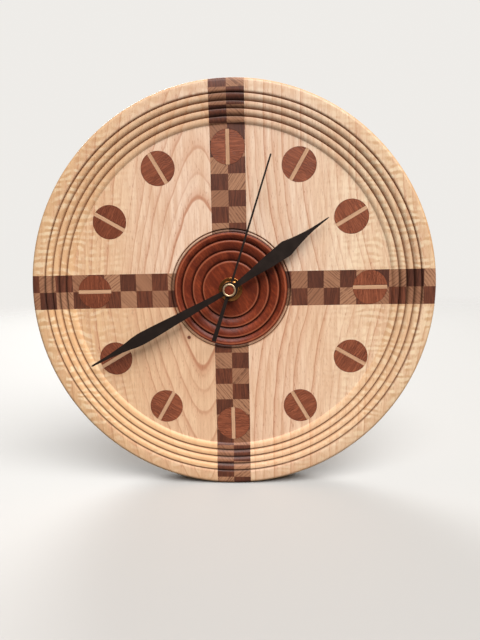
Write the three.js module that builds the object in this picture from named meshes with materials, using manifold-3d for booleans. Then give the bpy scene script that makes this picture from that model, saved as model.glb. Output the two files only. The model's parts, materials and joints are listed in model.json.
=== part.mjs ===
// Turned wooden wall clock with a battery quartz movement in its back.
// Millimetres, +Z up, the dial faces -Y and the wall is the plane y = 0.
// Heights are measured from the wall towards the viewer, so y = -height.
// The origin is the nail's seat in the hanger.
import * as THREE from 'three';
import { mergeVertices } from 'three/addons/utils/BufferGeometryUtils.js';
import Module from 'manifold-3d';

const wasm = await Module();
wasm.setup();

// Turned blank
const DISC_RADIUS = 150;
const RIM_RAISE = 4;
const EDGE_ROUND = 3;
const EDGE_ROUND_SHARE = 0.29;
const BACK_CHAMFER = 1.5;
const WEB_THICK = 2.4;
const MEDALLION_THICK = 3.6;
const RECESS_CLEARANCE = 2.7;
const WOOD_HOLE_CLEARANCE = 0.2;
const BLANK_SEGMENTS = 60;
const MEDALLION_SEGMENTS = 48;

// Turned beads between the rim band and the dial
const BEADS = 4;
const BAND_WIDTH = 10.6;
const BAND_EASE = 1.2;
const BEAD_PITCH = 5.1;
const BEAD_CREST_SHARE = 0.27;
const BEAD_RISE = 0.5;
const FIRST_GROOVE_DEPTH = 0.8;

// Medallion rings and the fine groove around the medallion
const MEDALLION_RADIUS = 42.4;
const MEDALLION_BAND = 5.5;
const MEDALLION_EDGE_ROUND = 0.5;
const RINGS = 3;
const RING_PITCH = 7.6;
const RING_CREST_SHARE = 0.17;
const RING_DROP = 1;
const RING_RISE = 0.6;
const LIP_WIDTH = 1.4;
const VEE_HALF_WIDTH = 0.5;
const VEE_DEPTH = 0.8;
const GLUE_GAP = 0.1;

// Chequered bars, hour plugs and the strip across each plug
const PLUG_WALL = 0.2;
const PLUG_RADIUS = 12.5;
const PLUG_DEPTH = 8;
const PLUG_BEAD_GAP = 3.5;
const PLUG_SEGMENTS = 24;
const HOURS = 12;
const LINE_HALF_WIDTH = 1.35;
const LINE_DEPTH = 3;

// Movement housing
const CASE_INSET = 1.2;
const COVER_THICK = 1.2;
const CASE_WALL = 1.5;
const CASE_FRONT_THICK = 1.5;
const CASE_CORNER = 4;
const CORNER_STEPS = 3;
const BAY_WALL = 1;
const BAY_WALL_GAP = 0.6;
const BAY_FLOOR_GAP = 0.5;
const BAY_FRONT_GAP = 0.2;
const COVER_EDGE_GAP = 0.3;
const FINGER_NOTCH_HALF = 8;
const FINGER_NOTCH_DEPTH = 7.8;
const POST_RADIUS = 1.4;
const POST_PLACE_SHARES = [[-0.47, -0.328], [0.755, -0.283], [0.472, 0.49], [-0.64, 0.472]];
const ROUND_SEGMENTS = 24;
const SMALL_SEGMENTS = 12;

// Battery and contacts
const BATTERY_RADIUS = 7.1;
const BATTERY_LENGTH = 49.2;
const BATTERY_INSET = 0.5;
const NUB_RADIUS = 2.7;
const NUB_LENGTH = 1.3;
const CONTACT_THICK = 0.4;
const CONTACT_HALF_WIDTH = 4;
const CONTACT_SPRING_REACH = 1.7;

// Pieces clamped on the threaded bushing
const BUSHING_WALL = 1.4;
const BUSHING_FLANGE = 2;
const BUSHING_FLANGE_THICK = 0.9;
const BUSHING_TIP_CHAMFER = 0.5;
const THREAD_SHOWN = 1.7;
const CLAMP_CLEARANCE = 0.15;
const RUBBER_RADIUS = 10;
const RUBBER_THICK = 0.8;
const WASHER_RADIUS = 8.85;
const WASHER_THICK = 0.9;
const NUT_SIDES = 6;
const NUT_FLATS_HALF = 6;
const NUT_THICK = 2.6;
const NUT_CORNER_DROP = 1.4;

// Hanger
const HANGER_THICK = 0.8;
const HANGER_HALF_WIDTH = 11;
const HANGER_CASE_GAP = 2.4;
const HANGER_WALL_GAP = 1.2;
const TAB_ABOVE_SLOT = 3.8;
const NAIL_SLOT_HALF = 2.2;
const NAIL_ENTRY_RADIUS = 4.3;
const NAIL_ENTRY_BELOW = 4.2;
const NAIL_ENTRY_MARGIN = 0.3;

// Gear train
const MODULE = 0.4;
const WHEEL_THICK = 0.9;
const LAYER_GAP = 0.4;
const BRIDGE_THICK = 1;
const BRIDGE_MARGIN = 1.6;
const BRIDGE_BAY_GAP = 0.2;
const TIP_HEIGHT_SHARE = 0.7;
const ROOT_DEPTH_SHARE = 0.9;
const TIP_WIDTH_SHARE = 0.09;
const ROOT_WIDTH_SHARE = 0.2;
const TEETH = {
  rotor: 6,
  intermediate: 30,
  intermediatePinion: 6,
  seconds: 36,
  secondsPinion: 6,
  third: 45,
  thirdPinion: 6,
  centre: 48,
  cannon: 10,
  minute: 30,
  minutePinion: 8,
  hour: 32,
  knob: 10,
};

// Directions from one arbor to the next, in degrees from +X towards +Z
const THIRD_DIRECTION = 110;
const MINUTE_DIRECTION = 190;
const INTERMEDIATE_DIRECTION = 350;
const ROTOR_DIRECTION = 20;

// Arbors, tubes and the setting knob
const ARBOR_RADIUS = 0.5;
const PIVOT_CLEARANCE = 0.07;
const PIVOT_LENGTH = 0.9;
const MINUTE_TUBE_WALL = 0.93;
const HOUR_TUBE_WALL = 0.91;
const TUBE_CLEARANCE = 0.09;
const STUD_RADIUS = 0.9;
const STUD_SHOULDER = 0.9;
const KNOB_SHAFT_RADIUS = 1.2;
const KNOB_RADIUS = 5;
const KNOB_THICK = 0.95;
const KNOB_GRIPS = 12;
const KNOB_GRIP_SIDES = 6;
const KNOB_GRIP_DEPTH = 0.5;
const FACE_CLEARANCE = 0.05;

// Stepping motor
const MAGNET_RADIUS = 3.2;
const MAGNET_PROUD = 0.2;
const STATOR_AIR_GAP = 0.5;
const STATOR_ARBOR_GAP = 0.5;
const STATOR_STANDOFF = 0.8;
const STATOR_THICK = 1;
const STATOR_LEG_WIDTH = 2.6;
const STATOR_LEG_OFFSET = 0.4;
const STATOR_PAD_ABOVE = 9;
const COIL_RADIUS = 4;
const COIL_FLANGE = 0.3;
const COIL_FLANGE_THICK = 0.8;
const COIL_WALL_GAP = 0.7;
const COIL_COVER_GAP = 0.9;
const COIL_LEG_GAP = 0.3;

// Circuit board
const BOARD_STANDOFF = 2.8;
const BOARD_THICK = 1;
const BOARD_WIDTH = 6.5;
const BOARD_LENGTH = 24;
const BOARD_SIDE_GAP = 0.6;
const BOARD_TOP_GAP = 1.5;
const BOARD_PAD_INSET = 3;
const CHIP_RADIUS = 2;
const CHIP_HEIGHT = 0.8;
const CHIP_PLACE_SHARE = 0.33;
const CRYSTAL_HALF_WIDTH = 0.9;
const CRYSTAL_LENGTH = 6;
const CRYSTAL_PLACE_SHARE = 0.67;

// Hands, and how far each is turned clockwise from twelve
const HOUR_ANGLE = 54.9;
const MINUTE_ANGLE = 242.2;
const SECONDS_ANGLE = 18.2;
const HAND_THICK = 0.6;
const HAND_FIT = 0.05;
const HOUR_HAND_LENGTH = 88;
const HOUR_HAND_HALF = 5.9;
const HOUR_HAND_SHARES = [
  [0.034, 0.32], [0.568, 1], [0.659, 0.68], [0.75, 0.41], [0.841, 0.21], [0.932, 0.11], [1, 0.085],
];
const HOUR_BOSS = 2.7;
const HOUR_COLLAR = 1.1;
const HOUR_COLLAR_LENGTH = 0.9;
const HOUR_THREAD_GAP = 0.7;
const TUBE_SHOWN = 0.6;
const MINUTE_HAND_GAP = 2.2;
const MINUTE_HAND_LENGTH = 118.8;
const MINUTE_HAND_HALF = 4.6;
const MINUTE_HAND_SHARES = [
  [0.025, 0.37], [0.54, 0.945], [0.62, 1], [0.69, 0.86], [0.79, 0.48], [0.875, 0.26], [0.943, 0.163],
  [1, 0.13],
];
const MINUTE_BOSS = 4.2;
const MINUTE_NUT_WALL = 1.7;
const MINUTE_NUT_THICK = 1.4;
const SECONDS_NEEDLE_LENGTH = 99;
const SECONDS_TAIL_LENGTH = 39;
const SECONDS_TAIL_HALF = 1.6;
const SECONDS_TAIL_ROOT_SHARE = 0.72;
const SECONDS_NEEDLE_HALF = 0.5;
const SECONDS_TIP_SHARE = 0.8;
const SECONDS_HAND_THICK = 0.4;
const SECONDS_COLLET_WALL = 0.6;
const SECONDS_COLLET_LENGTH = 1.6;
const SECONDS_COLLET_GAP = 0.4;
const CAP_RADIUS = 4.7;
const CAP_WALL = 1.5;
const CAP_THICK = 1.6;
const CAP_LIP = 0.4;
const INSERT_RECESS = 0.5;

const CUT_OVERRUN = 1;
const MERGE_TOLERANCE = 0.00001;

const MATERIALS = {
  ash: { color: 0xe2c39a, roughness: 0.42, metalness: 0 },
  chequer: { color: 0x8c6248, roughness: 0.45, metalness: 0 },
  mahogany: { color: 0x7c3420, roughness: 0.35, metalness: 0 },
  walnut: { color: 0x7d4530, roughness: 0.42, metalness: 0 },
  maple: { color: 0xd9b48a, roughness: 0.45, metalness: 0 },
  brass: { color: 0xcaa24a, roughness: 0.25, metalness: 1 },
  steel: { color: 0xa9adb0, roughness: 0.35, metalness: 1 },
  blackHand: { color: 0x26211f, roughness: 0.4, metalness: 0.2 },
  blackPlastic: { color: 0x1c1c1e, roughness: 0.5, metalness: 0 },
  whitePlastic: { color: 0xe6e3d8, roughness: 0.5, metalness: 0 },
  rubber: { color: 0x202020, roughness: 0.8, metalness: 0 },
  board: { color: 0x2f6b3a, roughness: 0.6, metalness: 0 },
  copper: { color: 0xb5673a, roughness: 0.35, metalness: 0.9 },
  magnet: { color: 0x4a4a4d, roughness: 0.5, metalness: 0.6 },
  batterySleeve: { color: 0x3d4f63, roughness: 0.35, metalness: 0 },
};

// Radii of the nested shafts
const arborHole = ARBOR_RADIUS + PIVOT_CLEARANCE;
const minuteTubeRadius = arborHole + MINUTE_TUBE_WALL;
const hourTubeBore = minuteTubeRadius + TUBE_CLEARANCE;
const hourTubeRadius = hourTubeBore + HOUR_TUBE_WALL;
const bushingBore = hourTubeRadius + TUBE_CLEARANCE;
const bushingRadius = bushingBore + BUSHING_WALL;
const clampHole = bushingRadius + CLAMP_CLEARANCE;
const woodHole = bushingRadius + WOOD_HOLE_CLEARANCE;

// Heights, from the wall to the front of the seconds hand
const coverOuter = CASE_INSET;
const coverInner = coverOuter + COVER_THICK;
const statorLow = coverInner + STATOR_STANDOFF;
const statorTop = statorLow + STATOR_THICK;
const magnetLow = statorLow - MAGNET_PROUD;
const magnetTop = statorTop + MAGNET_PROUD;
const intermediateLow = magnetTop + LAYER_GAP;
const secondsLow = intermediateLow + WHEEL_THICK + LAYER_GAP;
const bridgeLow = secondsLow + WHEEL_THICK + LAYER_GAP;
const bridgeTop = bridgeLow + BRIDGE_THICK;
const thirdLow = bridgeTop + LAYER_GAP;
const centreLow = thirdLow + WHEEL_THICK + LAYER_GAP;
const minuteLow = centreLow + WHEEL_THICK + LAYER_GAP;
const hourLow = minuteLow + WHEEL_THICK + LAYER_GAP;
const hourTop = hourLow + WHEEL_THICK;
const trainFront = hourTop + LAYER_GAP + BUSHING_FLANGE_THICK;
const batteryHeight = BATTERY_INSET + BATTERY_RADIUS;
const caseInnerFront = Math.max(trainFront, batteryHeight + BATTERY_RADIUS + BAY_FRONT_GAP);
const caseFront = caseInnerFront + CASE_FRONT_THICK;
const hangerFront = caseFront + HANGER_THICK;
const recessDepth = hangerFront + RUBBER_THICK;
const medallionFloor = recessDepth + WEB_THICK;
const dialHeight = medallionFloor + MEDALLION_THICK;
const rimHeight = dialHeight + RIM_RAISE;
const medallionTop = dialHeight - RINGS * (RING_DROP - RING_RISE);
const washerTop = medallionTop + WASHER_THICK;
const nutTop = washerTop + NUT_THICK;
const bushingTop = nutTop + THREAD_SHOWN;
const hourCollarLow = bushingTop + HOUR_THREAD_GAP;
const hourHandLow = hourCollarLow + HOUR_COLLAR_LENGTH;
const hourTubeTop = hourHandLow + HAND_THICK + TUBE_SHOWN;
const minuteHandLow = hourTubeTop + MINUTE_HAND_GAP;
const minuteHandTop = minuteHandLow + HAND_THICK;
const minuteTubeTop = minuteHandTop + MINUTE_NUT_THICK;
const colletLow = minuteTubeTop + SECONDS_COLLET_GAP;
const secondsHandLow = colletLow + SECONDS_COLLET_LENGTH;
const secondsHandTop = secondsHandLow + SECONDS_HAND_THICK;
const capTop = secondsHandTop + CAP_THICK;

// Plan of the movement: the battery's length sets the case
const caseInnerHalf = (BATTERY_LENGTH + NUB_LENGTH + 2 * CONTACT_THICK + CONTACT_SPRING_REACH) / 2;
const caseHalf = caseInnerHalf + CASE_WALL;
const batteryZ = -caseInnerHalf + BAY_FLOOR_GAP + BATTERY_RADIUS;
const bayTop = batteryZ + BATTERY_RADIUS + BAY_WALL_GAP;
const posts = POST_PLACE_SHARES.map(([x, z]) => [x * caseInnerHalf, z * caseInnerHalf]);
const [, lowRightPost, topRightPost, topLeftPost] = posts;

// Hanger, nail and recess
const hangerWebLow = caseHalf + HANGER_CASE_GAP;
const hangerWebTop = hangerWebLow + HANGER_THICK;
const nailEntryZ = hangerWebTop + NAIL_ENTRY_MARGIN + NAIL_ENTRY_RADIUS;
const hangAboveAxis = nailEntryZ + NAIL_ENTRY_BELOW;
const hangerTabTop = hangAboveAxis + NAIL_SLOT_HALF + TAB_ABOVE_SLOT;
const recessRadius = Math.hypot(HANGER_HALF_WIDTH, hangerTabTop) + RECESS_CLEARANCE;

// Radii of the turned front
const beadOuterRadius = DISC_RADIUS - BAND_WIDTH;
const beadInnerRadius = beadOuterRadius - BEADS * BEAD_PITCH;
const beadStep = (RIM_RAISE - FIRST_GROOVE_DEPTH) / BEADS;
const plugCentreRadius = beadInnerRadius - PLUG_BEAD_GAP - PLUG_RADIUS;
const barHalfWidth = PLUG_RADIUS + GLUE_GAP + PLUG_WALL;
const plugFloor = dialHeight - PLUG_DEPTH;
const lineFloor = dialHeight - LINE_DEPTH;
const pocketRadius = MEDALLION_RADIUS + GLUE_GAP;
const veeRadius = MEDALLION_RADIUS + LIP_WIDTH + VEE_HALF_WIDTH;

const group = new THREE.Group();
group.name = 'wall_clock';

// A closed three.js geometry becomes a solid, turned right side out if need be
function toSolid(geometry) {
  const bare = geometry.clone();
  bare.deleteAttribute('normal');
  bare.deleteAttribute('uv');
  const merged = mergeVertices(bare, MERGE_TOLERANCE);
  const position = merged.getAttribute('position').array;
  const index = Uint32Array.from(merged.getIndex().array);
  let volume = 0;
  for (let i = 0; i < index.length; i += 3) {
    const a = new THREE.Vector3().fromArray(position, index[i] * 3);
    const b = new THREE.Vector3().fromArray(position, index[i + 1] * 3);
    const c = new THREE.Vector3().fromArray(position, index[i + 2] * 3);
    volume += a.dot(b.cross(c));
  }
  if (volume < 0) {
    for (let i = 0; i < index.length; i += 3) {
      [index[i], index[i + 1]] = [index[i + 1], index[i]];
    }
  }
  const mesh = new wasm.Mesh({ numProp: 3, vertProperties: new Float32Array(position), triVerts: index });
  mesh.merge();
  return new wasm.Manifold(mesh);
}

function addNode(name, solid, materialName) {
  const mesh = solid.getMesh();
  const geometry = new THREE.BufferGeometry();
  geometry.setAttribute('position', new THREE.BufferAttribute(new Float32Array(mesh.vertProperties), 3));
  geometry.setIndex(new THREE.BufferAttribute(new Uint32Array(mesh.triVerts), 1));
  geometry.translate(0, 0, -hangAboveAxis);
  geometry.computeVertexNormals();
  const node = new THREE.Mesh(geometry, new THREE.MeshStandardMaterial(MATERIALS[materialName]));
  node.name = name;
  group.add(node);
}

// Basic solids, placed by their heights and by x, z on the dial
function turned(profile, segments) {
  const closed = [...profile, profile[0]];
  const points = closed.map(([radius, height]) => new THREE.Vector2(radius, -height));
  return toSolid(new THREE.LatheGeometry(points, segments));
}

function disc(radius, low, top, segments, place = [0, 0]) {
  const geometry = new THREE.CylinderGeometry(radius, radius, top - low, segments);
  geometry.translate(place[0], -(low + top) / 2, place[1]);
  return toSolid(geometry);
}

function holeCut(radius, low, top, segments, place = [0, 0]) {
  return disc(radius, low - CUT_OVERRUN, top + CUT_OVERRUN, segments, place);
}

function ring(radius, bore, low, top, segments) {
  return disc(radius, low, top, segments).subtract(holeCut(bore, low, top, segments));
}

function block(xs, heights, zs) {
  const geometry = new THREE.BoxGeometry(xs[1] - xs[0], heights[1] - heights[0], zs[1] - zs[0]);
  geometry.translate((xs[0] + xs[1]) / 2, -(heights[0] + heights[1]) / 2, (zs[0] + zs[1]) / 2);
  return toSolid(geometry);
}

function rodAlongX(radius, xs, height, z, segments) {
  const geometry = new THREE.CylinderGeometry(radius, radius, xs[1] - xs[0], segments);
  geometry.rotateZ(Math.PI / 2);
  geometry.translate((xs[0] + xs[1]) / 2, -height, z);
  return toSolid(geometry);
}

function plate(outline, low, top) {
  const shape = new THREE.Shape(outline.map(([x, z]) => new THREE.Vector2(x, z)));
  const geometry = new THREE.ExtrudeGeometry(shape, { depth: top - low, bevelEnabled: false });
  geometry.rotateX(Math.PI / 2);
  geometry.translate(0, -low, 0);
  return toSolid(geometry);
}

function around(middle, half) {
  return [middle - half, middle + half];
}

function polar(distance, degrees, from = [0, 0]) {
  const angle = THREE.MathUtils.degToRad(degrees);
  return [from[0] + distance * Math.cos(angle), from[1] + distance * Math.sin(angle)];
}

function roundedSquare(half, corner) {
  const outline = [];
  for (const [sx, sz, start] of [[1, 1, 0], [-1, 1, 90], [-1, -1, 180], [1, -1, 270]]) {
    for (let i = 0; i <= CORNER_STEPS; i += 1) {
      const centre = [sx * (half - corner), sz * (half - corner)];
      outline.push(polar(corner, start + (90 * i) / CORNER_STEPS, centre));
    }
  }
  return outline;
}

// Turns a solid about the dial axis, clockwise as the viewer sees it
function clockwise(solid, degrees) {
  return solid.rotate([0, degrees, 0]);
}

// Toothed wheels
function gear(teeth, module, phase, place, low, top) {
  const pitchRadius = (teeth * module) / 2;
  const tip = pitchRadius + module * TIP_HEIGHT_SHARE;
  const root = pitchRadius - module * ROOT_DEPTH_SHARE;
  const corners = [
    [root, -ROOT_WIDTH_SHARE], [tip, -TIP_WIDTH_SHARE], [tip, TIP_WIDTH_SHARE], [root, ROOT_WIDTH_SHARE],
  ];
  const outline = [];
  for (let i = 0; i < teeth; i += 1) {
    const middle = phase + (i * 2 * Math.PI) / teeth;
    for (const [radius, widthShare] of corners) {
      const angle = middle + (widthShare * Math.PI * module) / radius;
      outline.push([place[0] + radius * Math.cos(angle), place[1] + radius * Math.sin(angle)]);
    }
  }
  return plate(outline, low, top);
}

// Phase that sets this wheel's gap against the other wheel's tooth
function meshedPhase(teeth, direction, otherTeeth, otherPhase) {
  return direction + Math.PI + Math.PI / teeth - ((otherPhase - direction) * otherTeeth) / teeth;
}

// Profile of the turned blank, from the back over the edge to the middle
function blankProfile() {
  const eased = EDGE_ROUND * EDGE_ROUND_SHARE;
  const profile = [
    [DISC_RADIUS - BACK_CHAMFER, 0],
    [DISC_RADIUS, BACK_CHAMFER],
    [DISC_RADIUS, rimHeight - EDGE_ROUND],
    [DISC_RADIUS - eased, rimHeight - eased],
    [DISC_RADIUS - EDGE_ROUND, rimHeight],
    [beadOuterRadius + BAND_EASE, rimHeight],
  ];
  for (let i = 0; i < BEADS; i += 1) {
    const radius = beadOuterRadius - i * BEAD_PITCH;
    const groove = rimHeight - FIRST_GROOVE_DEPTH - i * beadStep;
    profile.push([radius, groove]);
    profile.push([radius - BEAD_PITCH * BEAD_CREST_SHARE, groove + BEAD_RISE]);
  }
  profile.push(
    [beadInnerRadius, dialHeight],
    [veeRadius + VEE_HALF_WIDTH, dialHeight],
    [veeRadius, dialHeight - VEE_DEPTH],
    [veeRadius - VEE_HALF_WIDTH, dialHeight],
    [pocketRadius, dialHeight],
    [pocketRadius, medallionFloor],
    [woodHole, medallionFloor],
    [woodHole, recessDepth],
    [recessRadius, recessDepth],
    [recessRadius, 0],
  );
  return profile;
}

function medallionProfile() {
  const profile = [
    [woodHole, medallionFloor],
    [MEDALLION_RADIUS, medallionFloor],
    [MEDALLION_RADIUS, dialHeight - MEDALLION_EDGE_ROUND],
    [MEDALLION_RADIUS - MEDALLION_EDGE_ROUND, dialHeight],
  ];
  let crest = dialHeight;
  for (let i = 0; i < RINGS; i += 1) {
    const radius = MEDALLION_RADIUS - MEDALLION_BAND - i * RING_PITCH;
    profile.push([radius, crest - RING_DROP]);
    crest += RING_RISE - RING_DROP;
    profile.push([radius - RING_PITCH * RING_CREST_SHARE, crest]);
  }
  profile.push([woodHole, medallionTop]);
  return profile;
}

// Wood: the plugs are let into whatever they cross
function plugPlace(hour) {
  return polar(plugCentreRadius, 90 - (360 * hour) / HOURS);
}

let blank = turned(blankProfile(), BLANK_SEGMENTS);
for (let hour = 1; hour <= HOURS; hour += 1) {
  const hole = disc(PLUG_RADIUS + GLUE_GAP, plugFloor, rimHeight + CUT_OVERRUN, PLUG_SEGMENTS, plugPlace(hour));
  blank = blank.subtract(hole);
}

const blankReach = DISC_RADIUS + CUT_OVERRUN;
const blankHeights = [-CUT_OVERRUN, rimHeight + CUT_OVERRUN];
const barSpan = around(0, barHalfWidth);
addNode('cross_bar', blank.intersect(block(barSpan, blankHeights, around(0, blankReach))), 'chequer');
for (const [side, xs] of [
  ['right', [barHalfWidth, blankReach]],
  ['left', [-blankReach, -barHalfWidth]],
]) {
  addNode(`cross_arm_${side}`, blank.intersect(block(xs, blankHeights, barSpan)), 'chequer');
}
for (const [corner, right, up] of [
  ['upper_right', true, true],
  ['lower_right', true, false],
  ['lower_left', false, false],
  ['upper_left', false, true],
]) {
  const xs = right ? [barHalfWidth, blankReach] : [-blankReach, -barHalfWidth];
  const zs = up ? [barHalfWidth, blankReach] : [-blankReach, -barHalfWidth];
  addNode(`ash_quadrant_${corner}`, blank.intersect(block(xs, blankHeights, zs)), 'ash');
}
addNode('medallion', turned(medallionProfile(), MEDALLION_SEGMENTS), 'mahogany');

for (let hour = 1; hour <= HOURS; hour += 1) {
  const label = String(hour).padStart(2, '0');
  const turn = (360 * hour) / HOURS;
  const lineSpan = around(plugCentreRadius, PLUG_RADIUS);
  const slotSpan = around(plugCentreRadius, PLUG_RADIUS + CUT_OVERRUN);
  const slot = block(around(0, LINE_HALF_WIDTH + GLUE_GAP), [lineFloor, dialHeight + CUT_OVERRUN], slotSpan);
  const plug = disc(PLUG_RADIUS, plugFloor, dialHeight, PLUG_SEGMENTS, plugPlace(hour));
  addNode(`hour_plug_${label}`, plug.subtract(clockwise(slot, turn)), 'walnut');
  const line = block(around(0, LINE_HALF_WIDTH), [lineFloor, dialHeight], lineSpan);
  addNode(`hour_line_${label}`, clockwise(line, turn).intersect(plug), 'maple');
}

// Places and directions of the arbors
const thirdWay = THREE.MathUtils.degToRad(THIRD_DIRECTION);
const minuteWay = THREE.MathUtils.degToRad(MINUTE_DIRECTION);
const intermediateWay = THREE.MathUtils.degToRad(INTERMEDIATE_DIRECTION);
const rotorWay = THREE.MathUtils.degToRad(ROTOR_DIRECTION);
const axis = [0, 0];
const centreDistance = ((TEETH.centre + TEETH.thirdPinion) * MODULE) / 2;
const thirdModule = (2 * centreDistance) / (TEETH.third + TEETH.secondsPinion);
const motionDistance = ((TEETH.cannon + TEETH.minute) * MODULE) / 2;
const knobDistance = ((TEETH.knob + TEETH.minute) * MODULE) / 2;
const intermediateDistance = ((TEETH.seconds + TEETH.intermediatePinion) * MODULE) / 2;
const rotorDistance = ((TEETH.intermediate + TEETH.rotor) * MODULE) / 2;
const thirdPlace = polar(centreDistance, THIRD_DIRECTION);
const minutePlace = polar(motionDistance, MINUTE_DIRECTION);
const knobPlace = polar(knobDistance, MINUTE_DIRECTION, minutePlace);
const intermediatePlace = polar(intermediateDistance, INTERMEDIATE_DIRECTION);
const rotorPlace = polar(rotorDistance, ROTOR_DIRECTION, intermediatePlace);
const knobHole = KNOB_SHAFT_RADIUS + PIVOT_CLEARANCE;

// Housing: a tray open at the back, with a bay for the battery at the bottom
const bayZ = [-caseHalf, bayTop - COVER_EDGE_GAP];
const outerOutline = roundedSquare(caseHalf, CASE_CORNER);
const innerOutline = roundedSquare(caseInnerHalf, CASE_CORNER - CASE_WALL);
const bayLip = plate(outerOutline, coverOuter, coverInner)
  .intersect(block(around(0, caseHalf), [coverOuter, coverInner], bayZ));
let tray = plate(outerOutline, coverInner, caseFront)
  .add(bayLip)
  .subtract(plate(innerOutline, coverOuter - CUT_OVERRUN, caseInnerFront))
  .add(block(around(0, caseInnerHalf), [coverInner, caseInnerFront], [bayTop, bayTop + BAY_WALL]));
for (const place of posts) {
  tray = tray.add(disc(POST_RADIUS, bridgeTop, caseInnerFront, SMALL_SEGMENTS, place));
}
const shoulderLow = hourTop + FACE_CLEARANCE;
const notchHeights = [coverOuter - CUT_OVERRUN, coverOuter + FINGER_NOTCH_DEPTH];
const notchZ = [-caseHalf - CUT_OVERRUN, -caseInnerHalf + CUT_OVERRUN];
const frontPivotTop = caseInnerFront + PIVOT_LENGTH;
tray = tray
  .add(disc(STUD_RADIUS + STUD_SHOULDER, shoulderLow, caseInnerFront, SMALL_SEGMENTS, minutePlace))
  .add(disc(STUD_RADIUS, minuteLow, caseInnerFront, SMALL_SEGMENTS, minutePlace))
  .subtract(holeCut(clampHole, caseInnerFront, caseFront, ROUND_SEGMENTS))
  .subtract(disc(arborHole, caseInnerFront - CUT_OVERRUN, frontPivotTop, SMALL_SEGMENTS, thirdPlace))
  .subtract(block(around(0, FINGER_NOTCH_HALF), notchHeights, notchZ));
addNode('movement_case', tray, 'blackPlastic');

const statorRadius = rotorDistance - ARBOR_RADIUS - STATOR_ARBOR_GAP;
const legSpread = statorRadius + STATOR_LEG_OFFSET;
const legHalf = STATOR_LEG_WIDTH / 2;
const legXs = around(rotorPlace[0], legSpread);
const boardX = -caseInnerHalf + BOARD_SIDE_GAP + BOARD_WIDTH / 2;
const boardTopZ = caseInnerHalf - BOARD_TOP_GAP;
const boardLowZ = boardTopZ - BOARD_LENGTH;
const boardLow = coverInner + BOARD_STANDOFF;
const boardTop = boardLow + BOARD_THICK;

let cover = plate(outerOutline, coverOuter, coverInner)
  .intersect(block(around(0, caseHalf), [coverOuter, coverInner], [bayTop, caseHalf]));
for (const x of legXs) {
  const place = [x, rotorPlace[1] + STATOR_PAD_ABOVE];
  cover = cover.add(disc(POST_RADIUS, coverOuter, statorLow, SMALL_SEGMENTS, place));
}
for (const z of [boardLowZ + BOARD_PAD_INSET, boardTopZ - BOARD_PAD_INSET]) {
  cover = cover.add(disc(POST_RADIUS, coverOuter, boardLow, SMALL_SEGMENTS, [boardX, z]));
}
for (const [place, radius] of [
  [axis, arborHole],
  [intermediatePlace, arborHole],
  [rotorPlace, arborHole],
  [knobPlace, knobHole],
]) {
  cover = cover.subtract(holeCut(radius, coverOuter, coverInner, SMALL_SEGMENTS, place));
}
addNode('movement_cover', cover, 'blackPlastic');

const [bridgeLeft] = topLeftPost;
const [bridgeRight] = lowRightPost;
const [, bridgeHigh] = topRightPost;
const bridgeEdge = POST_RADIUS + BRIDGE_MARGIN / 2;
const bridgeXs = [bridgeLeft - bridgeEdge, bridgeRight + bridgeEdge];
const bridgeZs = [bayTop + BAY_WALL + BRIDGE_BAY_GAP, bridgeHigh + bridgeEdge];
let bridge = block(bridgeXs, [bridgeLow, bridgeTop], bridgeZs);
for (const [place, radius] of [
  [axis, arborHole],
  [intermediatePlace, arborHole],
  [rotorPlace, arborHole],
  [thirdPlace, arborHole],
  [knobPlace, knobHole],
]) {
  bridge = bridge.subtract(holeCut(radius, bridgeLow, bridgeTop, SMALL_SEGMENTS, place));
}
addNode('train_bridge', bridge, 'whitePlastic');

// Bushing and what it clamps
const bushing = turned([
  [bushingBore, caseInnerFront - BUSHING_FLANGE_THICK],
  [bushingRadius + BUSHING_FLANGE, caseInnerFront - BUSHING_FLANGE_THICK],
  [bushingRadius + BUSHING_FLANGE, caseInnerFront],
  [bushingRadius, caseInnerFront],
  [bushingRadius, bushingTop - BUSHING_TIP_CHAMFER],
  [bushingRadius - BUSHING_TIP_CHAMFER, bushingTop],
  [bushingBore, bushingTop],
], ROUND_SEGMENTS);
addNode('threaded_bushing', bushing, 'brass');

const hangerXs = around(0, HANGER_HALF_WIDTH);
const tabHeights = [HANGER_WALL_GAP, HANGER_WALL_GAP + HANGER_THICK];
const hanger = block(hangerXs, [caseFront, hangerFront], [-HANGER_HALF_WIDTH, hangerWebTop])
  .add(block(hangerXs, [HANGER_WALL_GAP, hangerFront], [hangerWebLow, hangerWebTop]))
  .add(block(hangerXs, tabHeights, [hangerWebLow, hangerTabTop]))
  .subtract(holeCut(clampHole, caseFront, hangerFront, ROUND_SEGMENTS))
  .subtract(holeCut(NAIL_ENTRY_RADIUS, ...tabHeights, ROUND_SEGMENTS, [0, nailEntryZ]))
  .subtract(holeCut(NAIL_SLOT_HALF, ...tabHeights, ROUND_SEGMENTS, [0, hangAboveAxis]))
  .subtract(block(around(0, NAIL_SLOT_HALF), [tabHeights[0] - CUT_OVERRUN, tabHeights[1] + CUT_OVERRUN],
    [nailEntryZ, hangAboveAxis]));
addNode('hanger', hanger, 'steel');
addNode('rubber_washer', ring(RUBBER_RADIUS, clampHole, hangerFront, recessDepth, ROUND_SEGMENTS), 'rubber');
addNode('brass_washer', ring(WASHER_RADIUS, clampHole, medallionTop, washerTop, ROUND_SEGMENTS), 'brass');

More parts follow.
